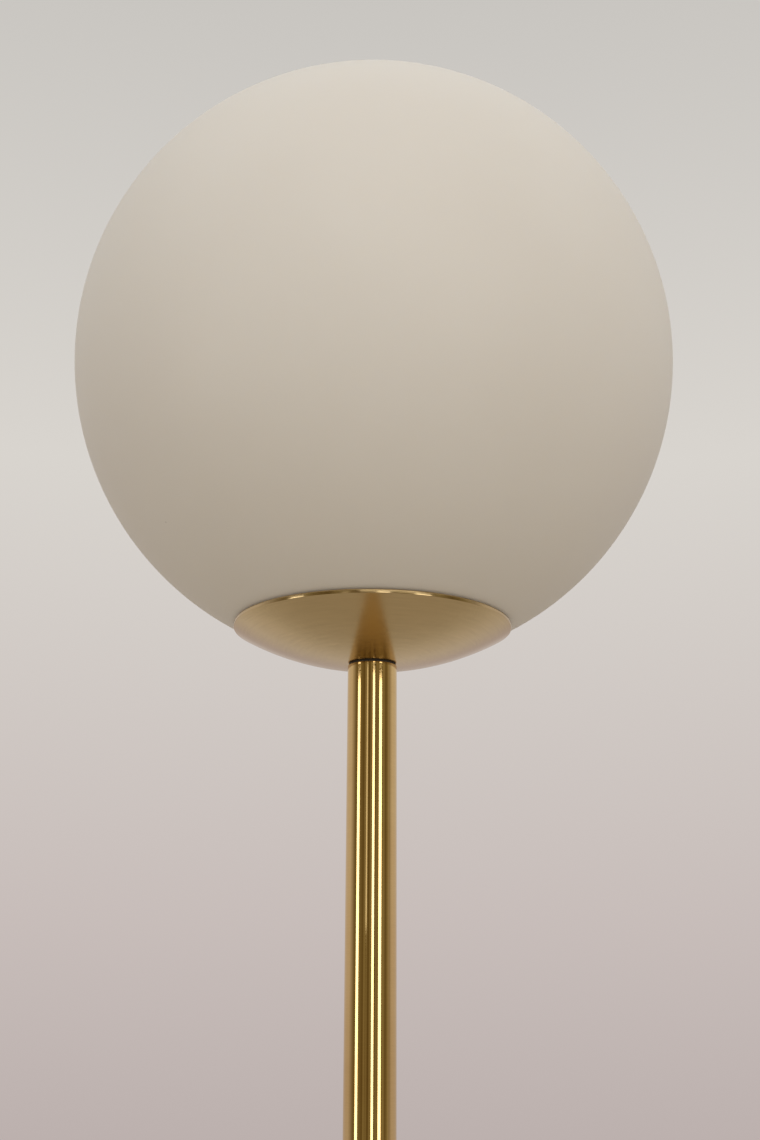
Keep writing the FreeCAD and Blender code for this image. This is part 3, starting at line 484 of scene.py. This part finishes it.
def globeShell():
    settings = {"wall": 3.5, "edgeRound": 0.8, "holeRadius": 40.0, "around": 224,
                "outerSteps": 150, "innerSteps": 70}
    low, high = nodeBox("globe_glass")
    radius = (high[0] - low[0]) / 2
    middle = high[2] - radius
    inner = radius - settings["wall"]
    hole, edge = settings["holeRadius"], settings["edgeRound"]
    # the ground edge: a small arc between the ball and the hole's wall
    outerStart = angleAt(radius, hole + edge * 0.9)
    outside = ballArc(radius, middle, outerStart, 180, settings["outerSteps"])
    inside = ballArc(inner, middle, 180, angleAt(inner, hole + edge * 0.3), settings["innerSteps"])
    first, last = inside[-1], outside[0]
    turn = np.radians(np.linspace(180, 285, 9))
    bend = np.stack([hole + edge + edge * np.cos(turn), last[1] + edge * 0.85 + edge * np.sin(turn)], axis=1)
    wallTop = np.array([[hole, first[1] + edge * 0.3]])
    profile = np.concatenate([inside, wallTop, bend[:-1], outside])
    profile[0, 0] = profile[-1, 0] = 0.0
    piece = turnedSurface("globeShell", profile, settings["around"], sharpAngle=50)
    seat(piece, "globe", ["globe_glass"], opal)
    return middle


globeMiddle = globeShell()
print("globe made, its middle is", round(float(globeMiddle), 2), "mm up")

# ---- dish and seat ring


def dishShell():
    # "soft" rounds the corner where the spun edge turns up into the rim
    settings = {"curve": 128.4, "wall": 1.5, "flat": 12.5, "nippleHole": 5.2, "soft": 0.35, "around": 256}
    low, high = nodeBox("dish")
    rim = (high[0] - low[0]) / 2
    curve, wall, soft = settings["curve"], settings["wall"], settings["soft"]
    middle = low[2] + math.sqrt(curve ** 2 - settings["flat"] ** 2)
    inner = curve - wall
    innerFlat = math.sqrt(inner ** 2 - (middle - low[2] - wall) ** 2)
    outside = ballArc(curve, middle, angleAt(curve, settings["flat"]), angleAt(curve, rim), 90)
    inside = ballArc(inner, middle, angleAt(inner, rim - wall), angleAt(inner, innerFlat), 70)
    foot, top = outside[-1][1], high[2]
    turn = np.radians(np.linspace(-90, 0, 5))[1:]
    bend = np.stack([rim - soft + soft * np.cos(turn), foot + soft * 0.6 + soft * np.sin(turn)], axis=1)
    half = wall / 2
    over = np.radians(np.linspace(0, 180, 13))
    lip = np.stack([rim - half + half * np.cos(over), top - half + half * np.sin(over)], axis=1)
    hole = settings["nippleHole"]
    upright = np.array([[rim, bend[-1][1] + 0.2], [rim, top - half - 0.2]])
    profile = np.concatenate([
        [[hole, low[2]]], outside[:-1], bend, upright, lip, inside, [[hole, low[2] + wall]],
    ])
    piece = turnedSurface("dishShell", profile, settings["around"], sharpAngle=40)
    seat(piece, "stand", ["dish"], dishBrass)


def seatRing():
    low, high = nodeBox("seat_ring")
    # it leans outwards and up, as the dish under it does
    settings = {"width": 8.0, "rise": 1.5, "slope": 3.0, "round": 0.5}
    outer = (high[0] - low[0]) / 2
    inner = outer - settings["width"]
    section = roundedSection([
        (inner, low[2] + 0.05, settings["round"]),
        (outer, low[2] + settings["slope"], settings["round"]),
        (outer - 0.1, high[2], settings["round"]),
        (inner, low[2] + settings["rise"], settings["round"]),
    ])
    piece = turnedSurface("seatRing", section, 128)
    seat(piece, "stand", ["seat_ring"], finishes["clearSilicone"])


dishShell()
seatRing()
print("dish made")

# ---- stem


def stemTube():
    settings = {"wall": 1.5, "edge": 0.3, "around": 160}
    low, high = nodeBox("stem_tube")
    outer = (high[0] - low[0]) / 2
    inner, edge = outer - settings["wall"], settings["edge"]
    section = roundedSection([
        (inner, low[2], 0), (outer, low[2], edge), (outer, high[2], edge), (inner, high[2], 0),
    ])
    piece = turnedSurface("stemTube", section, settings["around"], sharpAngle=50)
    seat(piece, "stand", ["stem_tube"], tubeBrass)


def thinWasher(name, node):
    settings = {"hole": 5.2, "round": 0.15}
    low, high = nodeBox(node)
    outer, hole, edge = (high[0] - low[0]) / 2, settings["hole"], settings["round"]
    section = roundedSection([
        (hole, low[2], 0), (outer, low[2], edge), (outer, high[2], edge), (hole, high[2], 0),
    ])
    piece = turnedSurface(name, section, 96)
    seat(piece, "stand", [node], finishes["blackFibre"])


stemTube()
thinWasher("dishWasher", "dish_washer")
thinWasher("stemWasher", "stem_washer")
print("stem made")

# ---- base

switchLow, switchHigh = nodeBox("switch_bezel")
switchCentre = (0.0, (switchLow[1] + switchHigh[1]) / 2)


def baseCover():
    # rings whose middle slides from the switch hole to the stem's axis, then the turned edge and side;
    # "crowding" draws the rings towards the hole, and "underRing" is how far from it the underside's ring lies
    settings = {"wall": 1.2, "edge": 4.0, "holeRadius": 11.2, "holeRound": 0.25, "underRing": 20.0,
                "topRings": 40, "crowding": 1.2, "around": 256}
    low, high = nodeBox("base_cover")
    outer = (high[0] - low[0]) / 2
    switchY = switchCentre[1]
    wall, edge, hole = settings["wall"], settings["edge"], settings["holeRadius"]
    top, under, lip = high[2], high[2] - wall, low[2]
    turn = np.radians(np.linspace(90, 0, 13))
    quarter = np.stack([np.cos(turn), np.sin(turn)], axis=1)
    bend = [outer - edge, top - edge] + edge * quarter
    innerBend = [outer - edge, top - edge] + (edge - wall) * quarter
    side = np.array([
        [outer, top - edge - 0.3], [outer, lip + 0.5], [outer, lip + 0.25], [outer - 0.15, lip],
        [outer - wall + 0.15, lip], [outer - wall, lip + 0.25],
    ])
    share = np.linspace(0, 1, settings["topRings"]) ** settings["crowding"]
    small = settings["holeRound"]
    flat = np.stack([hole + small + share * (outer - edge - hole - small), np.full(len(share), top)], axis=1)
    holeWall = np.array([[hole, top - small], [hole, under]])
    last = hole + settings["underRing"]
    radii = np.concatenate([holeWall[::-1], flat, bend[1:], side, innerBend[::-1], [[last, under]]])
    shift = np.zeros(len(radii))
    shift[:2] = switchY
    shift[2:2 + len(share)] = switchY * (1 - share)
    shift[-1] = switchY * (1 - settings["underRing"] / (outer - edge - hole))
    around, count = settings["around"], len(radii)
    angle = np.arange(around)[:, None] * 2 * math.pi / around
    points = np.stack([
        radii[:, 0] * np.cos(angle),
        shift + radii[:, 0] * np.sin(angle),
        np.tile(radii[:, 1], (around, 1)),
    ], axis=-1)
    index = np.arange(around * count).reshape(around, count)
    ahead = np.roll(index, -1, axis=0)
    corners = np.stack([np.roll(index, -1, axis=1), np.roll(ahead, -1, axis=1), ahead, index], axis=-1)
    corners = corners.reshape(-1, 4)
    uv = points[..., :2].reshape(-1, 2)[corners] * mm
    piece = addPiece("baseCover", points, [corners], [uv], 35)
    seat(piece, "stand", ["base_cover"], coverBrass)


def basePad():
    settings = {"width": 38.0, "floorRound": 0.6, "topRound": 0.1}
    low, high = nodeBox("base_pad")
    outer = (high[0] - low[0]) / 2
    inner = outer - settings["width"]
    section = roundedSection([
        (inner, low[2], settings["floorRound"]), (outer, low[2], settings["floorRound"]),
        (outer, high[2], settings["topRound"]), (inner, high[2], settings["topRound"]),
    ])
    piece = turnedSurface("basePad", section, 192)
    seat(piece, "stand", ["base_pad"], finishes["foamRubber"])


baseCover()
basePad()
print("base made")

# ---- foot switch

trimBrass = turnedMetal("trimBrass", dict(trimLook, centre=(0.0, switchCentre[1] * mm, 0.0)))


def switchBezel():
    settings = {"chamfer": 0.8, "bore": 11.05}
    outer = (switchHigh[0] - switchLow[0]) / 2
    low, high, bore = switchLow[2], switchHigh[2], settings["bore"]
    section = roundedSection([
        (bore, low, 0), (outer, low, 0.2), (outer, high - settings["chamfer"], 0.3),
        (outer - settings["chamfer"], high, 0.3), (bore, high, 0.2),
    ])
    piece = turnedSurface("switchBezel", section, 128, centre=switchCentre)
    seat(piece, "stand", ["switch_bezel"], trimBrass)


def switchButton():
    # a domed cap with a broken edge and three fine turned grooves
    settings = {"dome": 2.0, "skirt": 9.0, "flange": 10.1, "flangeHeight": 1.2, "hollow": 6.5, "crown": 4.0,
                "edge": 0.4, "shoulderDrop": 0.35,
                "grooveSpacing": 2.0, "grooveDepth": 0.12, "grooveWidth": 0.25}
    low, high = nodeBox("switch_button")
    radius, dome = settings["skirt"], settings["dome"]
    ball = (radius ** 2 + dome ** 2) / (2 * dome)
    across = np.linspace(radius - settings["edge"], 0, 90)
    ridge = np.zeros(len(across))
    for k in (1, 2, 3):
        ridge += np.exp(-((across - k * settings["grooveSpacing"]) / settings["grooveWidth"]) ** 2)
    height = high[2] - ball + np.sqrt(ball ** 2 - across ** 2) - ridge * settings["grooveDepth"]
    shoulder = high[2] - dome - settings["shoulderDrop"]
    inside = high[2] - dome - settings["crown"]
    hollow, flange, flangeTop = settings["hollow"], settings["flange"], low[2] + settings["flangeHeight"]
    profile = np.concatenate([
        [[0, inside], [hollow, inside], [hollow, low[2]], [flange, low[2]], [flange, flangeTop],
         [radius, flangeTop], [radius, shoulder], [radius - 0.12, shoulder + 0.3]],
        np.stack([across, height], axis=1),
    ])
    profile[-1, 0] = 0.0
    piece = turnedSurface("switchButton", profile, 128, centre=switchCentre)
    seat(piece, "button", ["switch_button"], trimBrass)


def coilSpring(name, node, wire, turns, centre, ringsPerTurn=28, sides=10, closedPitch=1.04):
    # P(t, v) = C(t) + w (cos v N + sin v Z): the wire's middle C climbs a helix, close wound in its first
    # and last turn, where closedPitch counts in wires
    low, high = nodeBox(node)
    radius = (high[0] - low[0]) / 2 - wire / 2
    t = np.linspace(0, turns, turns * ringsPerTurn + 1)
    rise, closed = high[2] - low[2] - wire, wire * closedPitch
    height = low[2] + wire / 2 + np.interp(t, [0, 1, turns - 1, turns], [0, closed, rise - closed, rise])
    turn = t * 2 * math.pi
    v = np.arange(sides) * 2 * math.pi / sides
    across = radius + wire / 2 * np.cos(v)[None, :]
    points = np.stack([
        centre[0] + across * np.cos(turn)[:, None],
        centre[1] + across * np.sin(turn)[:, None],
        height[:, None] + wire / 2 * np.sin(v)[None, :],
    ], axis=-1)
    index = np.arange(len(t) * sides).reshape(-1, sides)
    side = np.roll(index, -1, axis=1)
    quads = np.stack([index[:-1], index[1:], side[1:], side[:-1]], axis=-1).reshape(-1, 4)
    caps = np.stack([index[0], index[-1][::-1]])
    faceSets = [quads, caps]
    return addPiece(name, points, faceSets, [np.zeros((*faces.shape, 2)) for faces in faceSets], 40)


def switchSpring():
    settings = {"wire": 0.9, "turns": 7, "travel": 4.0}
    piece = coilSpring("switchSpring", "switch_spring", settings["wire"], settings["turns"], switchCentre)
    seat(piece, "stand", ["switch_spring"], finishes["springSteel"])
    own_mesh(piece)


switchBezel()
switchButton()
switchSpring()
print("foot switch made")

# ---- lampholder and bulb

threadTurn = {"pitch": 3.629, "depth": 0.85}  # the large round thread of cap and shell


def roundThread(low, high, depth=threadTurn["depth"], pitch=threadTurn["pitch"], fade=1.5):
    # r' = r - d / 2 (1 - cos (2 pi z / p - a)), faded in over a short way at both ends
    def wave(angle, radius, height):
        ease = np.clip((height - low) / fade, 0, 1) * np.clip((high - height) / fade, 0, 1)
        turn = 2 * math.pi * height / pitch - angle
        return radius - ease * depth / 2 * (1 - np.cos(turn))
    return wave


def onlyOutside(wave, least):
    # the wave on what lies further out than least, so that a bore stays plain
    def outerWave(angle, radius, height):
        return np.where(radius > least, wave(angle, radius, height), radius)
    return outerWave


def climbing(radius, low, high, steps):
    z = np.linspace(low, high, steps)
    return np.stack([np.full(steps, radius), z], axis=1)


capWall = 0.4
trace = 0.05  # a small step that tells a surface from the one behind it


def bulbCap():
    settings = {"threadFrom": 1.0, "threadBelowTop": 3.5, "leadLength": 1.5, "rows": 90}
    low, high = nodeBox("bulb_cap")
    cap = (high[0] - low[0]) / 2
    insulatorLow, insulatorHigh = nodeBox("bulb_insulator")
    foot = (insulatorHigh[0] - insulatorLow[0]) / 2
    shoulder = low[2] + cap - foot
    profile = np.concatenate([
        [[0, low[2]], [foot, low[2]], [foot + 0.3, low[2] + 0.1]],
        climbing(cap, shoulder + capWall, high[2], settings["rows"]),
        climbing(cap - capWall, high[2], shoulder, settings["rows"]),
        [[foot - capWall, low[2] + capWall], [0, low[2] + capWall]],
    ])
    threadLow = shoulder + settings["threadFrom"]
    thread = roundThread(threadLow, high[2] - settings["threadBelowTop"])

    def narrowLead(angle, radius, height):
        # below its thread the cap is as narrow as the thread's root, so that it runs through the shell
        below = np.clip(1 - (height - threadLow) / settings["leadLength"], 0, 1)
        return thread(angle, radius, height) - threadTurn["depth"] * below

    piece = turnedSurface("bulbCap", profile, 128, wave=onlyOutside(narrowLead, cap - capWall - trace))
    seat(piece, "bulb", ["bulb_cap"], finishes["nickelPlate"])


def bulbInsulator():
    # a black cone with a soft waist, and the tip under it
    settings = {"waistOut": 1.5, "waistUp": 2.2, "rounds": (0.4, 1.2, 0.5)}
    low, high = nodeBox("bulb_insulator")
    tipLow, tipHigh = nodeBox("bulb_tip")
    outer, tip = (high[0] - low[0]) / 2, (tipHigh[0] - tipLow[0]) / 2
    atTip, atWaist, atTop = settings["rounds"]
    section = roundedSection([
        (0, low[2], 0), (tip, low[2], atTip),
        (tip + settings["waistOut"], low[2] + settings["waistUp"], atWaist),
        (outer, high[2], atTop), (0, high[2], 0),
    ])
    section = np.roll(section, -int(np.argmin(section[:, 0] + (section[:, 1] - low[2]) * 0.001)), axis=0)
    section = section[:np.flatnonzero(section[:, 0] < 1e-6)[1] + 1]  # from the axis out and back to it, once
    piece = turnedSurface("bulbInsulator", section, 96)
    seat(piece, "bulb", ["bulb_insulator"], finishes["blackGlass"])
    section = np.array([
        [0, tipLow[2]], [tip * 0.45, tipLow[2] + 0.02], [tip * 0.7, tipLow[2] + 0.25],
        [tip * 0.95, tipHigh[2] - 0.5], [tip, tipHigh[2]], [0, tipHigh[2]],
    ])
    piece = turnedSurface("bulbTip", section, 64)
    seat(piece, "bulb", ["bulb_tip"], finishes["nickelPlate"])


def bulbHousing():
    # from the cap's edge out to the dome, slightly hollow, with a fine parting line under the dome
    settings = {"neck": 14.2, "neckRise": 5.0, "flare": 0.14, "hollow": 1.32, "parting": (0.0, 0.25, 0.4)}
    low, high = nodeBox("bulb_housing")
    capLow, capHigh = nodeBox("bulb_cap")
    wide, cap, seatLine = (high[0] - low[0]) / 2, (capHigh[0] - capLow[0]) / 2, capHigh[2]
    neck, neckTop, flare = settings["neck"], seatLine + settings["neckRise"], settings["flare"]
    t = np.linspace(0, 1, 60)
    flank = np.stack([
        neck + (wide - neck) * ((1 - flare) * t + flare * t ** 2) - settings["hollow"] * np.sin(math.pi * t),
        neckTop + (high[2] - neckTop) * t,
    ], axis=1)
    flank[-3:, 0] -= settings["parting"]
    spigot = cap - capWall - trace
    profile = np.concatenate([
        [[0, low[2]], [spigot, low[2]], [spigot, seatLine], [cap, seatLine], [cap + 0.3, seatLine + 0.6]],
        flank, [[0, high[2]]],
    ])
    piece = turnedSurface("bulbHousing", profile, 128)
    seat(piece, "bulb", ["bulb_housing"], finishes["whiteHousing"])


def bulbDome():
    settings = {"wall": 1.2, "innerSteps": 40, "outerSteps": 90}
    low, high = nodeBox("bulb_dome")
    ball = (high[0] - low[0]) / 2
    innerBall, middle = ball - settings["wall"], high[2] - ball
    start, innerStart = (math.degrees(math.acos((middle - low[2]) / radius)) for radius in (ball, innerBall))
    profile = np.concatenate([
        ballArc(innerBall, middle, 180, innerStart, settings["innerSteps"]),
        ballArc(ball, middle, start, 180, settings["outerSteps"]),
    ])
    profile[0, 0] = profile[-1, 0] = 0.0
    piece = turnedSurface("bulbDome", profile, 144, sharpAngle=50)
    seat(piece, "bulb", ["bulb_dome"], finishes["frostedDome"])


def holderSkirt():
    settings = {"pitch": 2.5, "depth": 0.6, "threadFrom": 14.0, "threadBelowTop": 2.5, "mouth": 15.0,
                "mouthWall": 2.5, "inner": 17.6, "edge": 0.3, "rows": 150}
    low, high = nodeBox("holder_skirt")
    outer = (high[0] - low[0]) / 2
    inner, mouth, edge = settings["inner"], settings["mouth"], settings["edge"]
    lip = high[2] - settings["mouthWall"]
    profile = np.concatenate([
        [[inner, low[2]], [outer - edge, low[2]]],
        climbing(outer, low[2] + edge, high[2] - 1.0, settings["rows"]),
        [[outer - 0.25, high[2] - 0.35], [outer - 0.9, high[2]], [mouth + edge, high[2]],
         [mouth, high[2] - edge], [mouth, lip], [inner, lip]],
    ])
    thread = roundThread(low[2] + settings["threadFrom"], high[2] - settings["threadBelowTop"],
                         settings["depth"], settings["pitch"])
    piece = turnedSurface("holderSkirt", profile, 160, wave=onlyOutside(thread, outer - trace))
    seat(piece, "stand", ["holder_skirt"], finishes["blackPhenolic"])


def screwShell():
    settings = {"wall": 0.45, "flangeBore": 9.0, "edge": 0.2, "threadFrom": 3.0, "threadBelowTop": 1.0,
                "rows": 110}
    low, high = nodeBox("screw_shell")
    outer = (high[0] - low[0]) / 2
    wall, bore, edge = settings["wall"], settings["flangeBore"], settings["edge"]
    profile = np.concatenate([
        [[bore, low[2]], [outer - edge, low[2]]],
        climbing(outer, low[2] + edge, high[2], settings["rows"]),
        climbing(outer - wall, high[2], low[2] + wall, settings["rows"]),
        [[bore, low[2] + wall]],
    ])
    thread = roundThread(low[2] + settings["threadFrom"], high[2] - settings["threadBelowTop"])
    piece = turnedSurface("screwShell", profile, 128, wave=thread)
    seat(piece, "stand", ["screw_shell"], finishes["nickelPlate"])


def threadedNipple(name, node):
    settings = {"bore": 3.75, "edge": 0.5, "pitch": 1.0, "depth": 0.55, "fade": 0.6, "rowsPerTurn": 6}
    low, high = nodeBox(node)
    outer = (high[0] - low[0]) / 2
    bore, edge, pitch = settings["bore"], settings["edge"], settings["pitch"]
    rows = int((high[2] - low[2]) / pitch * settings["rowsPerTurn"])
    profile = np.concatenate([
        [[bore, low[2]], [outer - edge, low[2]]], climbing(outer, low[2] + edge, high[2] - edge, rows),
        [[outer - edge, high[2]], [bore, high[2]]],
    ])
    thread = roundThread(low[2], high[2], settings["depth"], pitch, settings["fade"])
    piece = turnedSurface(name, profile, 64, wave=onlyOutside(thread, outer - trace))
    seat(piece, "stand", [node], turnedBrass)


def contactSpring():
    # its foot stands on the insert and its top reaches up to the contact
    settings = {"wire": 0.6, "turns": 5}
    piece = coilSpring("contactSpring", "contact_spring", settings["wire"], settings["turns"], (0.0, 0.0))
    piece.data.materials.append(finishes["springSteel"])
    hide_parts("contact_spring")
    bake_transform(piece)


bulbCap()
bulbInsulator()
bulbHousing()
bulbDome()
holderSkirt()
screwShell()
threadedNipple("topNipple", "top_nipple")
threadedNipple("footNipple", "foot_nipple")
contactSpring()
print("lampholder and bulb made")

# ---- the rest of the frame, its corners joined for smooth shading

smoothNodes = {
    "gallery_spacer": "turnedBrass", "gallery_plate": "zincSteel", "globe_springs": "springSteel",
    "spring_rivets": "zincSteel", "top_lock_washer": "zincSteel", "top_nut": "turnedBrass",
    "stem_top_plug": "turnedBrass", "stem_foot_plug": "turnedBrass", "holder_cap": "blackPhenolic",
    "holder_insert": "porcelain", "holder_terminals": "turnedBrass", "contact_disc": "turnedBrass",
    "centre_contact": "turnedBrass", "base_ballast": "castIron", "base_plate": "powderBlack",
    "plate_screws": "zincSteel", "foot_plain_washer": "zincSteel", "foot_lock_washer": "zincSteel",
    "foot_nut": "turnedBrass", "cord_bush": "blackPhenolic", "cord_bush_nut": "blackPhenolic",
    "switch_body": "blackPhenolic", "terminal_block": "whiteNylon", "terminal_screws": "zincSteel",
    "block_screws": "zincSteel", "live_core": "brownCore", "neutral_core": "blueCore",
    "switch_leads": "brownCore", "earth_tag": "turnedBrass", "earth_screw": "zincSteel",
}
bodyOf = {node: body for body, nodes in frame["record"]["behaviour"]["bodies"].items() for node in nodes}


def pieceName(node):
    first, *rest = node.split("_")
    return first + "".join(word.capitalize() for word in rest)


for node, finish in smoothNodes.items():
    piece = smoothCopy(node, pieceName(node))
    seat(piece, bodyOf[node], [node], finishes[finish])
print("frame pieces finished:", len(smoothNodes))

# ---- camera

cameraSettings = {
    "distance": 603.3, "below": 283.5,  # from the globe's middle, towards the front and down
    "pitch": 16.97, "yaw": 0.31, "roll": 0.24,
    "pictureHeight": 1140.0, "focalPixels": 1378.0,
}


def addCamera():
    s = cameraSettings
    pitch, yaw, roll = (math.radians(s[key]) for key in ("pitch", "yaw", "roll"))
    ahead = Vector((math.sin(yaw) * math.cos(pitch), math.cos(yaw) * math.cos(pitch), math.sin(pitch)))
    right = ahead.cross(Vector((0, 0, 1))).normalized()
    up = right.cross(ahead)
    turnedRight = right * math.cos(roll) + up * math.sin(roll)
    turnedUp = up * math.cos(roll) - right * math.sin(roll)
    data = bpy.data.cameras.new("camera")
    data.sensor_width = 36.0
    data.lens = data.sensor_width * s["focalPixels"] / s["pictureHeight"]
    camera = bpy.data.objects.new("camera", data)
    bpy.context.scene.collection.objects.link(camera)
    turn = Matrix((turnedRight, turnedUp, -ahead)).transposed().to_4x4()
    place = Vector((0, -s["distance"], globeMiddle - s["below"])) * mm
    camera.matrix_world = Matrix.Translation(place) @ turn
    bpy.context.scene.camera = camera


addCamera()

# ---- floor, room and lamps

roomSettings = {
    # the wall's tone by the height z of a ray's heading, as the camera, metal and glass meet it
    "wall": [(-0.9, (0.47, 0.43, 0.36)), (-0.35, (0.63, 0.585, 0.54)), (-0.1, (0.50, 0.435, 0.42)),
             (0.05, (0.575, 0.51, 0.49)), (0.36, (0.69, 0.66, 0.62)), (0.64, (0.58, 0.56, 0.53))],
    # the dark room behind the camera, in tall uneven bands
    "front": [(0.35, (0.10, 0.062, 0.012)), (0.65, (0.30, 0.25, 0.14))],
    "bands": 3.2,
    # the y of a ray's heading where the wall ends, and where the front has taken over
    "frontFrom": 0.3, "frontTo": -0.2,
    # what lights dull surfaces, by the height of the heading
    "ambient": [(-0.7, (0.37, 0.265, 0.165)), (0.6, (1.0, 0.97, 0.935))],
    "ambientStrength": 0.67,
}
floorSettings = {
    "colour": (0.56, 0.51, 0.43), "deepColour": (0.5376, 0.4896, 0.4128), "radius": 2.8, "corners": 96,
    "fade": (0.5, 2.2),  # metres from the lamp between which the floor passes into the backdrop
}
stripSettings = {
    "distance": 2.2, "colour": (1.0, 0.98, 0.94),
    # azimuth from the lamp's front (left is negative) and width in degrees, lower and upper end in metres,
    # radiance
    "strips": [(-62, 12, 0.7, 1.705, 2.9), (-21, 6, 1.2, 1.732, 0.65), (8.5, 9.5, 0.7, 1.717, 2.9),
               (40, 12.5, 0.7, 1.703, 2.9)],
}
ceilingSettings = {"size": (2.6, 2.6), "height": 3.1, "colour": (1.0, 0.98, 0.95), "radiance": 0.2}
softboxSettings = {
    "size": (2.4, 1.4), "azimuth": 14, "distance": 2.4, "height": 2.75,
    "colour": (1.0, 0.985, 0.95), "radiance": 1.15,
}


def addLamp(name, size, radiance, colour, matrix):
    data = bpy.data.lights.new(name, "AREA")
    data.shape = "RECTANGLE"
    data.size, data.size_y = size
    data.color = colour
    data.energy = radiance * math.pi * size[0] * size[1]
    lamp = bpy.data.objects.new(name, data)
    bpy.context.scene.collection.objects.link(lamp)
    lamp.matrix_world = matrix
    lamp.visible_camera = False


def addLamps():
    upright = Vector((0, 0, 1))
    strips, ceiling, softbox = stripSettings, ceilingSettings, softboxSettings
    for k, (azimuth, width, low, top, radiance) in enumerate(strips["strips"]):
        angle = math.radians(azimuth)
        away = Vector((math.sin(angle), -math.cos(angle), 0))
        across = 2 * strips["distance"] * math.tan(math.radians(width / 2))
        place = away * strips["distance"] + Vector((0, 0, (low + top) / 2))
        turn = Matrix((upright.cross(away), upright, away)).transposed().to_4x4()
        size = (across, top - low)
        addLamp(f"strip{k}", size, radiance, strips["colour"], Matrix.Translation(place) @ turn)
    addLamp("ceiling", ceiling["size"], ceiling["radiance"], ceiling["colour"],
            Matrix.Translation(Vector((0, 0, ceiling["height"]))))
    angle, distance = math.radians(softbox["azimuth"]), softbox["distance"]
    place = Vector((math.sin(angle) * distance, -math.cos(angle) * distance, softbox["height"]))
    away = (place - Vector((0, 0, globeMiddle * mm))).normalized()
    side = upright.cross(away).normalized()
    matrix = Matrix.Translation(place) @ Matrix((side, away.cross(side), away)).transposed().to_4x4()
    addLamp("softbox", softbox["size"], softbox["radiance"], softbox["colour"], matrix)


def toneRamp(tree, value, stops, lowest):
    # colours by value, which runs from lowest to 1
    share = addNode(
        tree, "ShaderNodeMapRange", {"Value": value, "From Min": lowest, "From Max": 1.0}
    ).outputs["Result"]
    ramp = addNode(tree, "ShaderNodeValToRGB", {"Fac": share})
    while len(ramp.color_ramp.elements) < len(stops):
        ramp.color_ramp.elements.new(0.5)
    for element, (at, tone) in zip(ramp.color_ramp.elements, stops):
        element.position = (at - lowest) / (1.0 - lowest)
        element.color = (*tone, 1)
    return ramp.outputs["Color"]


def addRoom():
    s = roomSettings
    world = bpy.data.worlds.new("room")
    world.use_nodes = True
    bpy.context.scene.world = world
    tree = world.node_tree
    tree.nodes.clear()
    heading = addNode(tree, "ShaderNodeTexCoord").outputs["Generated"]
    parts = addNode(tree, "ShaderNodeSeparateXYZ", {"Vector": heading}).outputs
    wall = toneRamp(tree, parts["Z"], s["wall"], -1.0)
    # bands: noise over the level part of the heading, the same all the way up
    level = addNode(tree, "ShaderNodeCombineXYZ", {"X": parts["X"], "Y": parts["Y"]}).outputs["Vector"]
    level = addNode(tree, "ShaderNodeVectorMath", {0: level}, operation="NORMALIZE").outputs["Vector"]
    dark = toneRamp(tree, noiseOn(tree, level, s["bands"], 2.0), s["front"], 0.0)
    front = addNode(tree, "ShaderNodeMapRange", {
        "Value": parts["Y"], "From Min": s["frontFrom"], "From Max": s["frontTo"],
    }).outputs["Result"]
    reflected = mixColours(tree, front, wall, dark)
    rays = addNode(tree, "ShaderNodeLightPath").outputs
    background = mixColours(tree, rays["Is Camera Ray"], reflected, wall)
    direct = calculate(tree, "MAXIMUM", rays["Is Camera Ray"], rays["Is Glossy Ray"])
    direct = calculate(tree, "MAXIMUM", direct, rays["Is Transmission Ray"])
    soft = toneRamp(tree, parts["Z"], s["ambient"], -1.0)
    ambient = addNode(tree, "ShaderNodeBackground", {"Color": soft, "Strength": s["ambientStrength"]})
    shown = addNode(tree, "ShaderNodeBackground", {"Color": background, "Strength": 1.0})
    both = addNode(tree, "ShaderNodeMixShader", {0: direct, 1: ambient.outputs[0], 2: shown.outputs[0]})
    addNode(tree, "ShaderNodeOutputWorld", {"Surface": both.outputs[0]})


def addFloor():
    s = floorSettings
    ring = np.arange(s["corners"]) * 2 * math.pi / s["corners"]
    rim = np.stack([s["radius"] * np.cos(ring), s["radius"] * np.sin(ring), np.zeros(len(ring))], axis=1)
    mesh = bpy.data.meshes.new("floor")
    mesh.from_pydata(rim.tolist(), [], [list(range(len(ring)))])
    floor = bpy.data.objects.new("floor", mesh)
    bpy.context.scene.collection.objects.link(floor)
    material, tree, shader = startMaterial("paleFloor", {"Roughness": 0.8})
    grain = noiseOn(tree, objectPlace(tree), 6.0)
    tree.links.new(rampBetween(tree, grain, s["colour"], s["deepColour"]), shader.inputs["Base Color"])
    far = addNode(tree, "ShaderNodeVectorMath", {0: objectPlace(tree)}, operation="LENGTH").outputs["Value"]
    share = addNode(tree, "ShaderNodeMapRange", {
        "Value": far, "From Min": s["fade"][0], "From Max": s["fade"][1], "To Min": 1.0, "To Max": 0.0,
    }, interpolation_type="SMOOTHSTEP").outputs["Result"]
    tree.links.new(share, shader.inputs["Alpha"])
    mesh.materials.append(material)


addLamps()
addRoom()
addFloor()
print("room and lamps made")
